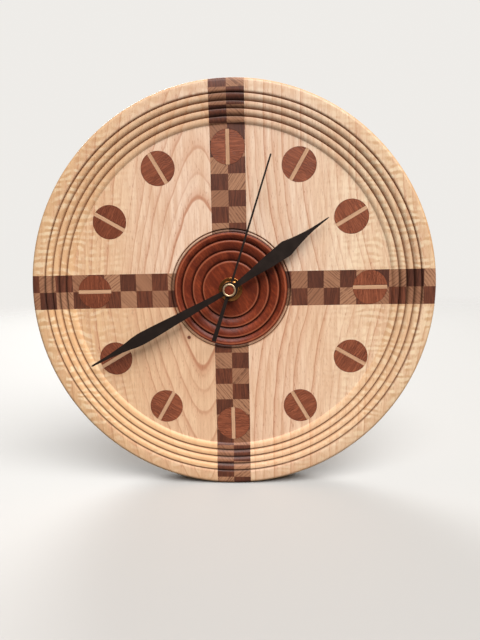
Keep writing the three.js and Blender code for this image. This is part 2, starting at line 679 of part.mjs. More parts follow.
const nutCorner = NUT_FLATS_HALF / Math.cos(Math.PI / NUT_SIDES);
const hexagon = [];
for (let i = 0; i < NUT_SIDES; i += 1) {
  hexagon.push(polar(nutCorner, (360 * i) / NUT_SIDES));
}
const nutCone = turned([
  [bushingBore, washerTop],
  [nutCorner + CUT_OVERRUN, washerTop],
  [nutCorner + CUT_OVERRUN, nutTop - NUT_CORNER_DROP],
  [NUT_FLATS_HALF, nutTop],
  [bushingBore, nutTop],
], ROUND_SEGMENTS);
const nut = plate(hexagon, washerTop, nutTop)
  .intersect(nutCone)
  .subtract(holeCut(bushingRadius + GLUE_GAP, washerTop, nutTop, ROUND_SEGMENTS));
addNode('hex_nut', nut, 'brass');

// Stepping motor
const backPivot = coverInner - PIVOT_LENGTH;
const bridgePivot = bridgeLow + PIVOT_LENGTH;
const intermediatePhase = rotorWay;
const rotorPhase = meshedPhase(TEETH.rotor, rotorWay, TEETH.intermediate, intermediatePhase);
const rotorPinionTop = intermediateLow + WHEEL_THICK + LAYER_GAP / 2;
const rotor = disc(MAGNET_RADIUS, magnetLow, magnetTop, ROUND_SEGMENTS, rotorPlace)
  .add(gear(TEETH.rotor, MODULE, rotorPhase, rotorPlace, magnetTop - FACE_CLEARANCE, rotorPinionTop))
  .add(disc(ARBOR_RADIUS, backPivot, bridgePivot, SMALL_SEGMENTS, rotorPlace));
addNode('rotor', rotor, 'magnet');

const coilZ = caseInnerHalf - COIL_WALL_GAP - COIL_FLANGE - COIL_RADIUS;
const coilHeight = coverInner + COIL_COVER_GAP + COIL_FLANGE + COIL_RADIUS;
const coreHeights = around(coilHeight, legHalf);
const coreZs = around(coilZ, legHalf);
let stator = disc(statorRadius, statorLow, statorTop, ROUND_SEGMENTS, rotorPlace);
for (const x of legXs) {
  stator = stator
    .add(block(around(x, legHalf), [statorLow, statorTop], [rotorPlace[1], coreZs[1]]))
    .add(block(around(x, legHalf), [statorLow, coreHeights[1]], coreZs));
}
stator = stator
  .add(block(legXs, coreHeights, coreZs))
  .subtract(holeCut(MAGNET_RADIUS + STATOR_AIR_GAP, statorLow, statorTop, ROUND_SEGMENTS, rotorPlace));
addNode('stator', stator, 'steel');

const coilXs = around(rotorPlace[0], legSpread - legHalf - COIL_LEG_GAP);
const flangeRadius = COIL_RADIUS + COIL_FLANGE;
const coreHole = block(around(rotorPlace[0], legSpread + CUT_OVERRUN),
  around(coilHeight, legHalf + GLUE_GAP), around(coilZ, legHalf + GLUE_GAP));
const coil = rodAlongX(COIL_RADIUS, coilXs, coilHeight, coilZ, ROUND_SEGMENTS)
  .add(rodAlongX(flangeRadius, [coilXs[0], coilXs[0] + COIL_FLANGE_THICK], coilHeight, coilZ, ROUND_SEGMENTS))
  .add(rodAlongX(flangeRadius, [coilXs[1] - COIL_FLANGE_THICK, coilXs[1]], coilHeight, coilZ, ROUND_SEGMENTS))
  .subtract(coreHole);
addNode('coil', coil, 'copper');

const chipPlace = [boardX, boardLowZ + BOARD_LENGTH * CHIP_PLACE_SHARE];
const crystalZ = boardLowZ + BOARD_LENGTH * CRYSTAL_PLACE_SHARE;
const board = block(around(boardX, BOARD_WIDTH / 2), [boardLow, boardTop], [boardLowZ, boardTopZ])
  .add(disc(CHIP_RADIUS, boardLow, boardTop + CHIP_HEIGHT, SMALL_SEGMENTS, chipPlace))
  .add(block(around(boardX, CRYSTAL_HALF_WIDTH), [boardLow, boardTop + 2 * CRYSTAL_HALF_WIDTH],
    [crystalZ, crystalZ + CRYSTAL_LENGTH]));
addNode('circuit_board', board, 'board');

// Wheels of the train, from the motor to the hands
const intermediatePinionPhase = meshedPhase(TEETH.intermediatePinion, intermediateWay,
  TEETH.seconds, intermediateWay);
const intermediateTop = intermediateLow + WHEEL_THICK;
const intermediateWheel = gear(TEETH.intermediate, MODULE, intermediatePhase, intermediatePlace,
  intermediateLow, intermediateTop)
  .add(gear(TEETH.intermediatePinion, MODULE, intermediatePinionPhase, intermediatePlace,
    intermediateTop - FACE_CLEARANCE, secondsLow + WHEEL_THICK + LAYER_GAP / 2))
  .add(disc(ARBOR_RADIUS, backPivot, bridgePivot, SMALL_SEGMENTS, intermediatePlace));
addNode('intermediate_wheel', intermediateWheel, 'whitePlastic');

const thirdPhase = thirdWay + Math.PI;
const secondsPinionPhase = meshedPhase(TEETH.secondsPinion, thirdPhase, TEETH.third, thirdPhase);
const secondsWheel = gear(TEETH.seconds, MODULE, intermediateWay, axis, secondsLow, secondsLow + WHEEL_THICK)
  .add(gear(TEETH.secondsPinion, thirdModule, secondsPinionPhase, axis, thirdLow, thirdLow + WHEEL_THICK))
  .add(disc(ARBOR_RADIUS, backPivot, secondsHandTop, SMALL_SEGMENTS));
addNode('seconds_wheel', secondsWheel, 'steel');

const thirdPinionPhase = meshedPhase(TEETH.thirdPinion, thirdWay, TEETH.centre, thirdWay);
const thirdTop = thirdLow + WHEEL_THICK;
const thirdWheel = gear(TEETH.third, thirdModule, thirdPhase, thirdPlace, thirdLow, thirdTop)
  .add(gear(TEETH.thirdPinion, MODULE, thirdPinionPhase, thirdPlace, thirdTop - FACE_CLEARANCE,
    centreLow + WHEEL_THICK + LAYER_GAP / 2))
  .add(disc(ARBOR_RADIUS, bridgeTop - PIVOT_LENGTH, frontPivotTop - LAYER_GAP / 2, SMALL_SEGMENTS, thirdPlace));
addNode('third_wheel', thirdWheel, 'whitePlastic');

const centreTop = centreLow + WHEEL_THICK;
const centreWheel = gear(TEETH.centre, MODULE, thirdWay, axis, centreLow, centreTop)
  .add(gear(TEETH.cannon, MODULE, minuteWay, axis, centreTop - FACE_CLEARANCE, minuteLow + WHEEL_THICK))
  .add(disc(minuteTubeRadius, centreLow, minuteTubeTop, ROUND_SEGMENTS))
  .subtract(holeCut(arborHole, centreLow, minuteTubeTop, SMALL_SEGMENTS));
addNode('centre_wheel', centreWheel, 'brass');

const minutePhase = meshedPhase(TEETH.minute, minuteWay, TEETH.cannon, minuteWay);
const minutePinionPhase = minuteWay + Math.PI;
const minuteWheel = gear(TEETH.minute, MODULE, minutePhase, minutePlace, minuteLow, minuteLow + WHEEL_THICK)
  .add(gear(TEETH.minutePinion, MODULE, minutePinionPhase, minutePlace, minuteLow, hourTop))
  .subtract(holeCut(STUD_RADIUS + PIVOT_CLEARANCE, minuteLow, hourTop, SMALL_SEGMENTS, minutePlace));
addNode('minute_wheel', minuteWheel, 'whitePlastic');

const hourPhase = meshedPhase(TEETH.hour, minutePinionPhase, TEETH.minutePinion, minutePinionPhase);
const hourWheel = gear(TEETH.hour, MODULE, hourPhase, axis, hourLow, hourTop)
  .add(disc(hourTubeRadius, hourLow, hourTubeTop, ROUND_SEGMENTS))
  .subtract(holeCut(hourTubeBore, hourLow, hourTubeTop, ROUND_SEGMENTS));
addNode('hour_wheel', hourWheel, 'brass');

const knobPhase = meshedPhase(TEETH.knob, minuteWay, TEETH.minute, minutePhase);
const knobTop = coverOuter - FACE_CLEARANCE;
const knobLow = knobTop - KNOB_THICK;
let knob = disc(KNOB_RADIUS, knobLow, knobTop, ROUND_SEGMENTS, knobPlace);
for (let i = 0; i < KNOB_GRIPS; i += 1) {
  const place = polar(KNOB_RADIUS, (360 * i) / KNOB_GRIPS, knobPlace);
  knob = knob.subtract(holeCut(KNOB_GRIP_DEPTH, knobLow, knobTop, KNOB_GRIP_SIDES, place));
}
knob = knob
  .add(disc(KNOB_SHAFT_RADIUS, knobLow, minuteLow + WHEEL_THICK, SMALL_SEGMENTS, knobPlace))
  .add(gear(TEETH.knob, MODULE, knobPhase, knobPlace, minuteLow, minuteLow + WHEEL_THICK));
addNode('setting_knob', knob, 'whitePlastic');

// Battery and its contacts
const batteryStart = -caseInnerHalf + CONTACT_THICK + CONTACT_SPRING_REACH;
const batteryEnd = batteryStart + BATTERY_LENGTH;
const nubXs = [batteryEnd, batteryEnd + NUB_LENGTH];
const battery = rodAlongX(BATTERY_RADIUS, [batteryStart, batteryEnd], batteryHeight, batteryZ, ROUND_SEGMENTS)
  .add(rodAlongX(NUB_RADIUS, nubXs, batteryHeight, batteryZ, SMALL_SEGMENTS));
addNode('battery', battery, 'batterySleeve');

const contactXs = [caseInnerHalf - CONTACT_THICK, caseInnerHalf];
const contactZs = around(batteryZ, CONTACT_HALF_WIDTH);
addNode('contact_positive', block(contactXs, [coverInner, caseInnerFront], contactZs), 'steel');

const springBack = -caseInnerHalf + CONTACT_THICK;
const springProfile = [
  [-caseInnerHalf, coverInner],
  [springBack, coverInner],
  [springBack, batteryHeight - CONTACT_HALF_WIDTH],
  [springBack + CONTACT_SPRING_REACH, batteryHeight],
  [springBack, batteryHeight + CONTACT_HALF_WIDTH],
  [springBack, caseInnerFront],
  [-caseInnerHalf, caseInnerFront],
];
const springShape = new THREE.Shape(springProfile.map(([x, height]) => new THREE.Vector2(x, -height)));
const springGeometry = new THREE.ExtrudeGeometry(springShape, {
  depth: 2 * CONTACT_HALF_WIDTH,
  bevelEnabled: false,
});
springGeometry.translate(0, 0, contactZs[0]);
addNode('contact_negative', toSolid(springGeometry), 'steel');

// Hands: stations along each hand with its half width there
function handPlate(stations, low, top) {
  const right = stations.map(([along, half]) => [half, along]);
  const left = stations.map(([along, half]) => [-half, along]).reverse();
  return plate([...right, ...left], low, top);
}

function scaledStations(shares, length, half) {
  return shares.map(([along, width]) => [along * length, width * half]);
}

const hourHandTop = hourHandLow + HAND_THICK;
const hourStations = scaledStations(HOUR_HAND_SHARES, HOUR_HAND_LENGTH, HOUR_HAND_HALF);
const hourHand = handPlate(hourStations, hourHandLow, hourHandTop)
  .add(disc(hourTubeRadius + HOUR_BOSS, hourHandLow, hourHandTop, ROUND_SEGMENTS))
  .add(disc(hourTubeRadius + HOUR_COLLAR, hourCollarLow, hourHandTop, ROUND_SEGMENTS))
  .subtract(holeCut(hourTubeRadius + HAND_FIT, hourCollarLow, hourHandTop, ROUND_SEGMENTS));
addNode('hour_hand', clockwise(hourHand, HOUR_ANGLE), 'blackHand');

const minuteStations = scaledStations(MINUTE_HAND_SHARES, MINUTE_HAND_LENGTH, MINUTE_HAND_HALF);
const minuteHand = handPlate(minuteStations, minuteHandLow, minuteHandTop)
  .add(disc(minuteTubeRadius + MINUTE_BOSS, minuteHandLow, minuteHandTop, ROUND_SEGMENTS))
  .subtract(holeCut(minuteTubeRadius + HAND_FIT, minuteHandLow, minuteHandTop, ROUND_SEGMENTS));
addNode('minute_hand', clockwise(minuteHand, MINUTE_ANGLE), 'blackHand');

const nutRadius = minuteTubeRadius + MINUTE_NUT_WALL;
const nutBore = minuteTubeRadius + HAND_FIT;
addNode('minute_nut', ring(nutRadius, nutBore, minuteHandTop, minuteTubeTop, ROUND_SEGMENTS), 'brass');

const tailRootHalf = SECONDS_TAIL_HALF * SECONDS_TAIL_ROOT_SHARE;
const secondsStations = [
  [-SECONDS_TAIL_LENGTH, SECONDS_TAIL_HALF],
  [-CAP_RADIUS, tailRootHalf],
  [CAP_RADIUS, SECONDS_NEEDLE_HALF],
  [SECONDS_NEEDLE_LENGTH, SECONDS_NEEDLE_HALF * SECONDS_TIP_SHARE],
];
const colletRadius = ARBOR_RADIUS + SECONDS_COLLET_WALL;
const secondsHand = handPlate(secondsStations, secondsHandLow, secondsHandTop)
  .add(disc(CAP_RADIUS - CAP_LIP, secondsHandLow, secondsHandTop, ROUND_SEGMENTS))
  .add(disc(colletRadius, colletLow, secondsHandTop, SMALL_SEGMENTS))
  .subtract(holeCut(ARBOR_RADIUS + HAND_FIT, colletLow, secondsHandTop, SMALL_SEGMENTS));
addNode('seconds_hand', clockwise(secondsHand, SECONDS_ANGLE), 'blackHand');
const capBore = CAP_RADIUS - CAP_WALL;
addNode('seconds_cap', ring(CAP_RADIUS, capBore, secondsHandTop, capTop, ROUND_SEGMENTS), 'brass');
const insertTop = capTop - INSERT_RECESS;
addNode('seconds_insert', disc(capBore - GLUE_GAP, secondsHandTop, insertTop, ROUND_SEGMENTS), 'mahogany');

export default group;
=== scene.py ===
# %% [markdown]
# # A turned wooden wall clock
# The clock is one wooden disc with a battery movement let into its back. The
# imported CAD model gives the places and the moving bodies. This lesson makes the
# shapes that show, and their finishes, around that model.

import json
import math
import random

import bmesh
import bpy
from mathutils import Matrix, Vector


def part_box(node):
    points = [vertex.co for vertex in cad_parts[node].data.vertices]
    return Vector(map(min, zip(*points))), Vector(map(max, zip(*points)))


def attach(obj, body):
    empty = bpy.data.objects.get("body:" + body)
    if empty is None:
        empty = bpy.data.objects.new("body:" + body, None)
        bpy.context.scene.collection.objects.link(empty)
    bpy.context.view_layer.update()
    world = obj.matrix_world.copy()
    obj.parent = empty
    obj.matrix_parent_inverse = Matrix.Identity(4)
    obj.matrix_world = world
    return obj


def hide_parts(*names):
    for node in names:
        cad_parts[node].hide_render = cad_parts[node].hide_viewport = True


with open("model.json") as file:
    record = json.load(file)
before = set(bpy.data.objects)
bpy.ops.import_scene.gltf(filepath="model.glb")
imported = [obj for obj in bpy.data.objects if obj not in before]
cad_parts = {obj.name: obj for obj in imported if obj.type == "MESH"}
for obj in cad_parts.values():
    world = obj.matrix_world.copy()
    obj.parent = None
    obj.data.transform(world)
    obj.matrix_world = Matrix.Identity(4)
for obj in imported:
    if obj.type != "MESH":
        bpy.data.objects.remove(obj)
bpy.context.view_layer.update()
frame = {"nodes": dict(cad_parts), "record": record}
SLOT_OF_NODE = {part["node"]: part["material_slot"] for part in frame["record"]["subparts"]}
BODY_OF_NODE = {}
for body, pieces in frame["record"]["behaviour"]["bodies"].items():
    BODY_OF_NODE.update({piece: body for piece in pieces})

# %% [markdown]
# ## The measure
# Every shape is drawn in millimetres about the dial's own axis, with x to the
# right, z up and y into the wall. A height is counted from the wall towards the
# viewer, so y is minus the height. A finished mesh is then shifted and scaled
# once into the model's frame, whose origin is the nail, 40 mm above the axis.

# %% Sizes that several pieces share
MM = 0.001
HANG = 40
DISC = 150
RIM = 28
DIAL = 24
WEB_FRONT = 20.4
RECESS_DEPTH = 18
RECESS = 50.03
SHAFT_HOLE = 4.19
BAR_HALF = 12.8
PLUG_CENTRE = 103
PLUG = 12.5
GLUE = 0.1
MEDALLION = 42.4
LATHE_STEPS = 288
RING_STEPS = 96

# %% [markdown]
# ## The camera
# The photograph was taken from close by, a little right of the middle and tilted
# a few degrees down. A camera with the same place, tilt and angle of view gives
# the same shape of ellipse at the rim. The lens follows from the picture's
# height of 640 dots and a focal length of 450 dots on a 36 mm sensor. The turn
# is a vector along its own axis, as long as its angle in radians.

# %% Camera
PICTURE_DOTS, FOCAL_DOTS, SENSOR = 640, 450, 36
camera_data = bpy.data.cameras.new("photo_camera")
camera_data.sensor_width = SENSOR
camera_data.lens = SENSOR * FOCAL_DOTS / PICTURE_DOTS
camera = bpy.data.objects.new("photo_camera", camera_data)
bpy.context.scene.collection.objects.link(camera)
turn = Vector((-0.1094, 0.017, 0.0453))
eye = Vector((0.02225, -0.3601, -0.02624))
level = Matrix.Rotation(math.radians(90), 4, "X")
camera.matrix_world = (
    Matrix.Translation(eye)
    @ Matrix.Rotation(turn.length, 4, turn.normalized())
    @ level
)
bpy.context.scene.camera = camera
print("camera at", [round(c, 4) for c in camera.location])

# %% [markdown]
# ## Helpers for shader nodes
# A finish is a small machine of nodes. These helpers add one node, join or set
# its inputs, and hand back its output, so that a recipe reads like a sentence.


# %% Node helpers
def feed(tree, made, feeds):
    """Joins a socket to a node's input, or sets the input's own value."""
    for name, value in feeds.items():
        if isinstance(value, bpy.types.NodeSocket):
            tree.links.new(value, made.inputs[name])
        else:
            made.inputs[name].default_value = value


def node(tree, kind, feeds=None, out=0, **settings):
    made = tree.nodes.new("ShaderNode" + kind)
    for key, value in settings.items():
        setattr(made, key, value)
    feed(tree, made, feeds or {})
    return made.outputs[out]


def maths(tree, operation, *values):
    return node(tree, "Math", dict(enumerate(values)), operation=operation)


def times(tree, first, *others):
    for other in others:
        first = maths(tree, "MULTIPLY", first, other)
    return first


def plus(tree, first, second):
    return maths(tree, "ADD", first, second)


def sloped(tree, value, slope, start):
    return maths(tree, "MULTIPLY_ADD", value, slope, start)


def scaled(tree, place, factors):
    return node(tree, "VectorMath", {0: place, 1: factors}, operation="MULTIPLY")


def axes_of(tree, place):
    return node(tree, "SeparateXYZ", {0: place}).node.outputs


def stored(tree, label, out="Fac"):
    """A number or place that the mesh carries at each point or face."""
    return node(tree, "Attribute", out=out, attribute_name=label)


def noise(tree, place, scale, detail=2, roughness=0.5):
    feeds = {"Vector": place, "Scale": scale, "Detail": detail, "Roughness": roughness}
    return node(tree, "TexNoise", feeds)


def chance_of(tree, number):
    return node(tree, "TexWhiteNoise", {"W": number}, noise_dimensions="1D")


def span(tree, value, low, high, to_low=0.0, to_high=1.0):
    feeds = {"Value": value, "From Min": low, "From Max": high, "To Min": to_low, "To Max": to_high}
    return node(tree, "MapRange", feeds, interpolation_type="SMOOTHSTEP")


def colour(tone):
    """Turns a screen colour of three numbers up to 255 into the linear colour that a socket wants."""
    if isinstance(tone, bpy.types.NodeSocket) or len(tone) == 4:
        return tone
    linear = []
    for part in tone:
        share = part / 255
        linear.append(share / 12.92 if share <= 0.04045 else ((share + 0.055) / 1.055) ** 2.4)
    return (*linear, 1)


def mixed(tree, share, first, second):
    feeds = {0: share, 6: colour(first), 7: colour(second)}
    return node(tree, "Mix", feeds, 2, data_type="RGBA")


def effect(name, inputs, outputs):
    """An empty node group with named inputs (with defaults) and named outputs."""
    tree = bpy.data.node_groups.new(name, "ShaderNodeTree")
    for label, value in inputs.items():
        kind = "NodeSocketFloat" if isinstance(value, (int, float)) else "NodeSocketVector"
        socket = tree.interface.new_socket(label, in_out="INPUT", socket_type=kind)
        if kind == "NodeSocketFloat":
            socket.default_value = value
    for label in outputs:
        tree.interface.new_socket(label, in_out="OUTPUT", socket_type="NodeSocketFloat")
    return tree, tree.nodes.new("NodeGroupInput").outputs, tree.nodes.new("NodeGroupOutput").inputs


def use(tree, group, feeds):
    made = tree.nodes.new("ShaderNodeGroup")
    made.node_tree = group
    feed(tree, made, feeds)
    return made.outputs


def material(name, roughness, metallic=0.0, **constants):
    """A new material with one Principled shader, whose plain values are set on its own sockets."""
    made = bpy.data.materials.new(name)
    made.use_nodes = True
    tree = made.node_tree
    shader = tree.nodes["Principled BSDF"]
    feed(tree, shader, {"Roughness": roughness, "Metallic": metallic})
    feed(tree, shader, {key.replace("_", " "): value for key, value in constants.items()})
    return made, tree, shader, node(tree, "TexCoord", out="Object")


def dress(tree, shader, base, gloss, height, depth):
    """Joins a finish's colour, its roughness if that varies, and its fine relief to the shader."""
    relief = node(tree, "Bump", {"Height": height, "Distance": depth, "Strength": 1.0})
    feed(tree, shader, {"Base Color": base, "Normal": relief})
    if gloss is not None:
        feed(tree, shader, {"Roughness": gloss})


def from_axis(tree, place):
    """How far a point is from the dial's axis."""
    level = node(tree, "VectorMath", {0: place, 1: (0, 0, HANG * MM)}, operation="ADD")
    return node(tree, "VectorMath", {0: scaled(tree, level, (1, 0, 1))}, "Value", operation="LENGTH")


# %% [markdown]
# ## Growth rings
# A board shows the tree's growth rings as lines. Beside the middle of the trunk
# they run nearly straight. Right over it, where a swelling in the trunk made the
# saw leave one ring and enter the next, they close into tall arches. Painted
# stripes would give only the first. This group works out how far each point
# lies from the trunk's axis, adds the swelling, and draws a line at each ring,
# so lines and arches come from one rule and carry on round the disc's edge.


# %% Growth ring group
def years(tree, count, scale, spread):
    """Makes a count of years uneven. Gives the part of its year that a point has reached, and the year."""
    uneven = node(tree, "TexNoise", {"W": count, "Scale": scale, "Detail": 1.0}, noise_dimensions="1D")
    count = sloped(tree, uneven, spread, count)
    return maths(tree, "FRACT", count), maths(tree, "FLOOR", count)


def growth_rings():
    tree, entry, leave = effect(
        "growth rings",
        {"Place": (0, 0, 0), "Pith X": 0.0, "Pith Depth": 0.013, "Lean": 0.29, "Reach": 0.045,
         "Swell": 0.0, "Spread": 0.05, "Ring Width": 0.006, "Shift": 0.0, "Bold": 0.0},
        ["Line", "Porous"],
    )
    place = entry["Place"]
    axes = axes_of(tree, place)
    waver = plus(tree, noise(tree, scaled(tree, place, (60, 60, 24)), 1.0, 3, 0.55), -0.5)
    rise = plus(tree, axes["Z"], HANG * MM)
    bulge = maths(tree, "DIVIDE", rise, entry["Spread"])
    bell = maths(tree, "DIVIDE", 1.0, sloped(tree, bulge, bulge, 1.0))
    across = maths(tree, "SUBTRACT", axes["X"], entry["Pith X"])
    across = maths(tree, "SUBTRACT", across, times(tree, entry["Swell"], bell))
    depth = plus(tree, plus(tree, axes["Y"], DIAL * MM), entry["Pith Depth"])
    square = sloped(tree, across, across, times(tree, depth, depth))
    share = maths(tree, "DIVIDE", across, entry["Reach"])
    near = maths(tree, "DIVIDE", entry["Lean"], sloped(tree, share, share, 1.0))
    distance = sloped(tree, maths(tree, "ABSOLUTE", rise), near, maths(tree, "SQRT", square))
    distance = sloped(tree, waver, 0.0035, distance)
    count = maths(tree, "DIVIDE", plus(tree, distance, entry["Shift"]), entry["Ring Width"])
    part, year = years(tree, count, 0.7, 0.9)
    strength = sloped(tree, maths(tree, "POWER", chance_of(tree, year), 1.4), 0.6, 0.2)
    inside = maths(tree, "LESS_THAN", year, entry["Bold"])
    beside = maths(tree, "COMPARE", year, plus(tree, entry["Bold"], 1.0), 0.1)
    strength = times(tree, strength, sloped(tree, inside, -0.8, 1.0), sloped(tree, beside, -0.6, 1.0))
    bold = maths(tree, "COMPARE", year, entry["Bold"], 0.1)
    strength = sloped(tree, bold, 0.38, strength)
    crisp = times(tree, span(tree, part, 0.0, 0.05), span(tree, part, 0.07, 0.2, 1.0, 0.0))
    soft = times(tree, span(tree, part, 0.0, 0.1), span(tree, part, 0.1, 0.75, 1.0, 0.0))
    tree.links.new(times(tree, crisp, strength), leave["Line"])
    tree.links.new(times(tree, soft, strength), leave["Porous"])
    return tree


RINGS_GROUP = growth_rings()
print("group:", RINGS_GROUP.name, [s.name for s in RINGS_GROUP.interface.items_tree])

# %% [markdown]
# ## Fibres, pores and curly figure
# Between the rings wood is a bundle of fibres along the trunk, with open pores
# that show as short dark dashes. Noise stretched along the grain gives both.
# Where fibres wave, the surface shimmers in short bars across the grain, which
# wood turners call curly figure. It shows near the left and right of the rim.


# %% Fibre and figure groups
def fibres():
    tree, entry, leave = effect(
        "fibres and pores", {"Place": (0, 0, 0), "Across": 900.0, "Along": 45.0}, ["Fibre", "Pore"]
    )
    factors = node(
        tree, "CombineXYZ", {"X": entry["Across"], "Y": entry["Across"], "Z": entry["Along"]}
    )
    stretched = scaled(tree, entry["Place"], factors)
    tree.links.new(noise(tree, stretched, 1.0, 4, 0.65), leave["Fibre"])
    dashes = noise(tree, scaled(tree, stretched, (2.6, 2.6, 4.5)), 1.0, 1)
    tree.links.new(span(tree, dashes, 0.62, 0.74), leave["Pore"])
    return tree


def curly_figure():
    tree, entry, leave = effect(
        "curly figure", {"Place": (0, 0, 0), "Inner": 0.08, "Outer": 0.135, "Period": 0.005},
        ["Shimmer", "Shade"],
    )
    place = entry["Place"]
    axes = axes_of(tree, place)
    drift = plus(tree, noise(tree, scaled(tree, place, (34, 34, 42)), 1.0, 3), -0.5)
    turns = maths(tree, "DIVIDE", sloped(tree, drift, 0.02, axes["Z"]), entry["Period"])
    wave = maths(tree, "SINE", times(tree, turns, math.tau))
    patches = span(tree, noise(tree, scaled(tree, place, (170, 170, 90)), 1.0, 3, 0.65), 0.4, 0.62)
    side = maths(tree, "ABSOLUTE", axes["X"])
    where = span(tree, side, entry["Inner"], entry["Outer"])
    rim = span(tree, from_axis(tree, place), 0.128, 0.142)
    where = sloped(tree, times(tree, where, rim), 0.5, where)
    where = times(tree, maths(tree, "MAXIMUM", where, times(tree, rim, 0.6)), patches)
    tree.links.new(times(tree, span(tree, wave, -0.5, 0.7), where), leave["Shimmer"])
    tree.links.new(times(tree, span(tree, wave, 0.1, -1.0), where), leave["Shade"])
    return tree


FIBRE_GROUP = fibres()
CURL_GROUP = curly_figure()
print("groups:", FIBRE_GROUP.name, "and", CURL_GROUP.name)

# %% [markdown]
# ## Ash
# The four quarters are ash, a pale ring-porous wood with reddish early growth.
# The quarters were cut side by side from one board, so the upper and lower ones
# mirror each other. Each material gets its own trunk axis. The wood is pinker by
# the middle and creamier at the sides, and satin oil gives it a soft sheen. The
# beads' fronts are tinted a darker, warmer brown, partly oil lying thicker there
# and partly painted shade, most on the left and lower quarters. The rim band and
# the outer edge are browned all round as painted shade, which tones down how
# brightly they catch the light.


# %% Ash materials
def ash(name, middle, outside, shift, width, bead_oil_and_shade, knot=None, **trunk):
    made, tree, shader, place = material(
        name, 0.46, Coat_Weight=0.08, Coat_Roughness=0.35, Specular_IOR_Level=0.3
    )
    rings = use(tree, RINGS_GROUP, {"Place": place, "Shift": shift, "Ring Width": width, **trunk})
    fibre = use(tree, FIBRE_GROUP, {"Place": place, "Across": 760.0, "Along": 62.0})
    curl = use(tree, CURL_GROUP, {"Place": place, "Inner": 0.055, "Outer": 0.12, "Period": 0.0052})
    axes = axes_of(tree, place)
    side = span(tree, maths(tree, "ABSOLUTE", axes["X"]), 0.03, 0.12)
    cloud = noise(tree, scaled(tree, place, (40, 40, 12)), 1.0, 2)
    base = mixed(tree, side, middle, outside)
    base = mixed(tree, span(tree, cloud, 0.35, 0.7, 0.0, 0.5), base, (226, 182, 144))
    streak = noise(tree, scaled(tree, place, (480, 480, 32)), 1.0, 3, 0.6)
    base = mixed(tree, span(tree, streak, 0.3, 0.6, 0.42, 0.0), base, (214, 164, 128))
    base = mixed(tree, times(tree, rings["Porous"], 0.55), base, (206, 144, 110))
    base = mixed(tree, times(tree, rings["Line"], 0.85), base, (182, 114, 80))
    base = mixed(tree, span(tree, fibre["Fibre"], 0.3, 0.62, 0.34, 0.0), base, (201, 152, 118))
    pores = times(tree, fibre["Pore"], sloped(tree, rings["Porous"], 0.6, 0.3))
    base = mixed(tree, pores, base, (168, 108, 80))

    radius = from_axis(tree, place)
    # Painted shade with oil: the beads' fronts are mixed towards a darker, warmer brown, by a share that
    # each quarter sets.
    inner_end = span(tree, radius, 0.1185, 0.1195)
    outer_end = span(tree, radius, 0.139, 0.1395, bead_oil_and_shade, 0.0)
    front = maths(tree, "LESS_THAN", axes["Y"], -0.0238)
    base = mixed(tree, times(tree, inner_end, outer_end, front), base, (230, 180, 130))
    base = mixed(tree, times(tree, curl["Shade"], 0.4), base, (200, 156, 110))
    base = mixed(tree, times(tree, curl["Shimmer"], 0.4), base, (255, 236, 200))
    # Painted shade: the rim band and the outer edge are mixed towards brown all round, to tone down how
    # brightly they catch the light.
    band = span(tree, radius, 0.139, 0.1465, 0.0, 0.3)
    edge = span(tree, radius, 0.1468, 0.1495, 0.0, 0.8)
    base = mixed(tree, maths(tree, "MAXIMUM", band, edge), base, (204, 158, 108))
    if knot:
        gap = node(tree, "VectorMath", {0: place, 1: knot}, "Value", operation="DISTANCE")
        base = mixed(tree, span(tree, gap, 0.0009, 0.0045, 0.35, 0.0), base, (190, 130, 95))
        base = mixed(tree, span(tree, gap, 0.0011, 0.0016, 0.95, 0.0), base, (104, 50, 34))
    # Painted shade with dirt: the groove mark darkens the grooves and the slopes beside them.
    groove_dirt_and_shade = maths(tree, "POWER", stored(tree, "groove_dirt_and_shade"), 1.6)
    base = mixed(tree, times(tree, groove_dirt_and_shade, 0.8), base, (120, 64, 28))
    relief = maths(tree, "SUBTRACT", fibre["Fibre"], fibre["Pore"])
    dress(tree, shader, base, sloped(tree, fibre["Fibre"], 0.16, 0.38), relief, 0.00004)
    return made


ARCHED = {"Pith X": -0.0222, "Pith Depth": 0.0085, "Lean": 0.29, "Reach": 0.055, "Bold": 5.0}
STRAIGHT = {"Pith X": -0.062, "Pith Depth": 0.03, "Lean": 0.0, "Swell": 0.018, "Spread": 0.045}
KNOT = (-0.0323, -0.024, -0.0758)
ASH = {
    "upper_left": ash(
        "ash_upper_left", (247, 216, 190), (238, 198, 154), -0.0022, 0.0056, 0.5, **ARCHED
    ),
    "lower_left": ash(
        "ash_lower_left", (240, 200, 162), (234, 192, 146), 0.0017, 0.0058, 0.75, KNOT, **ARCHED
    ),
    "upper_right": ash(
        "ash_upper_right", (250, 224, 200), (250, 222, 186), 0.0, 0.0062, 0.2, **STRAIGHT
    ),
    "lower_right": ash(
        "ash_lower_right", (245, 209, 178), (250, 220, 184), 0.002, 0.0066, 0.45, **STRAIGHT
    ),
}
print("ash materials:", len(ASH))

# %% [markdown]
# ## Chequer woods
# The cross is a glue-up of small blocks. The dark blocks are walnut with the
# grain in view, and the pale ones show their end grain, whose rings cross each
# block at a slant. Every face of a block carries two numbers in its mesh, a seed
# and a slant, so one material paints each block differently.


# %% Block materials
def block_place(tree, place):
    """Where a point lies in its own block's wood: turned by the block's slant and shifted by its seed."""
    seed = stored(tree, "seed")
    feeds = {"Vector": place, "Angle": stored(tree, "slant")}
    turned = node(tree, "VectorRotate", feeds, rotation_type="Y_AXIS")
    shift = times(tree, seed, 3.7)
    offset = node(tree, "CombineXYZ", {"X": shift, "Y": seed, "Z": shift})
    return node(tree, "VectorMath", {0: turned, 1: offset}, operation="ADD"), seed


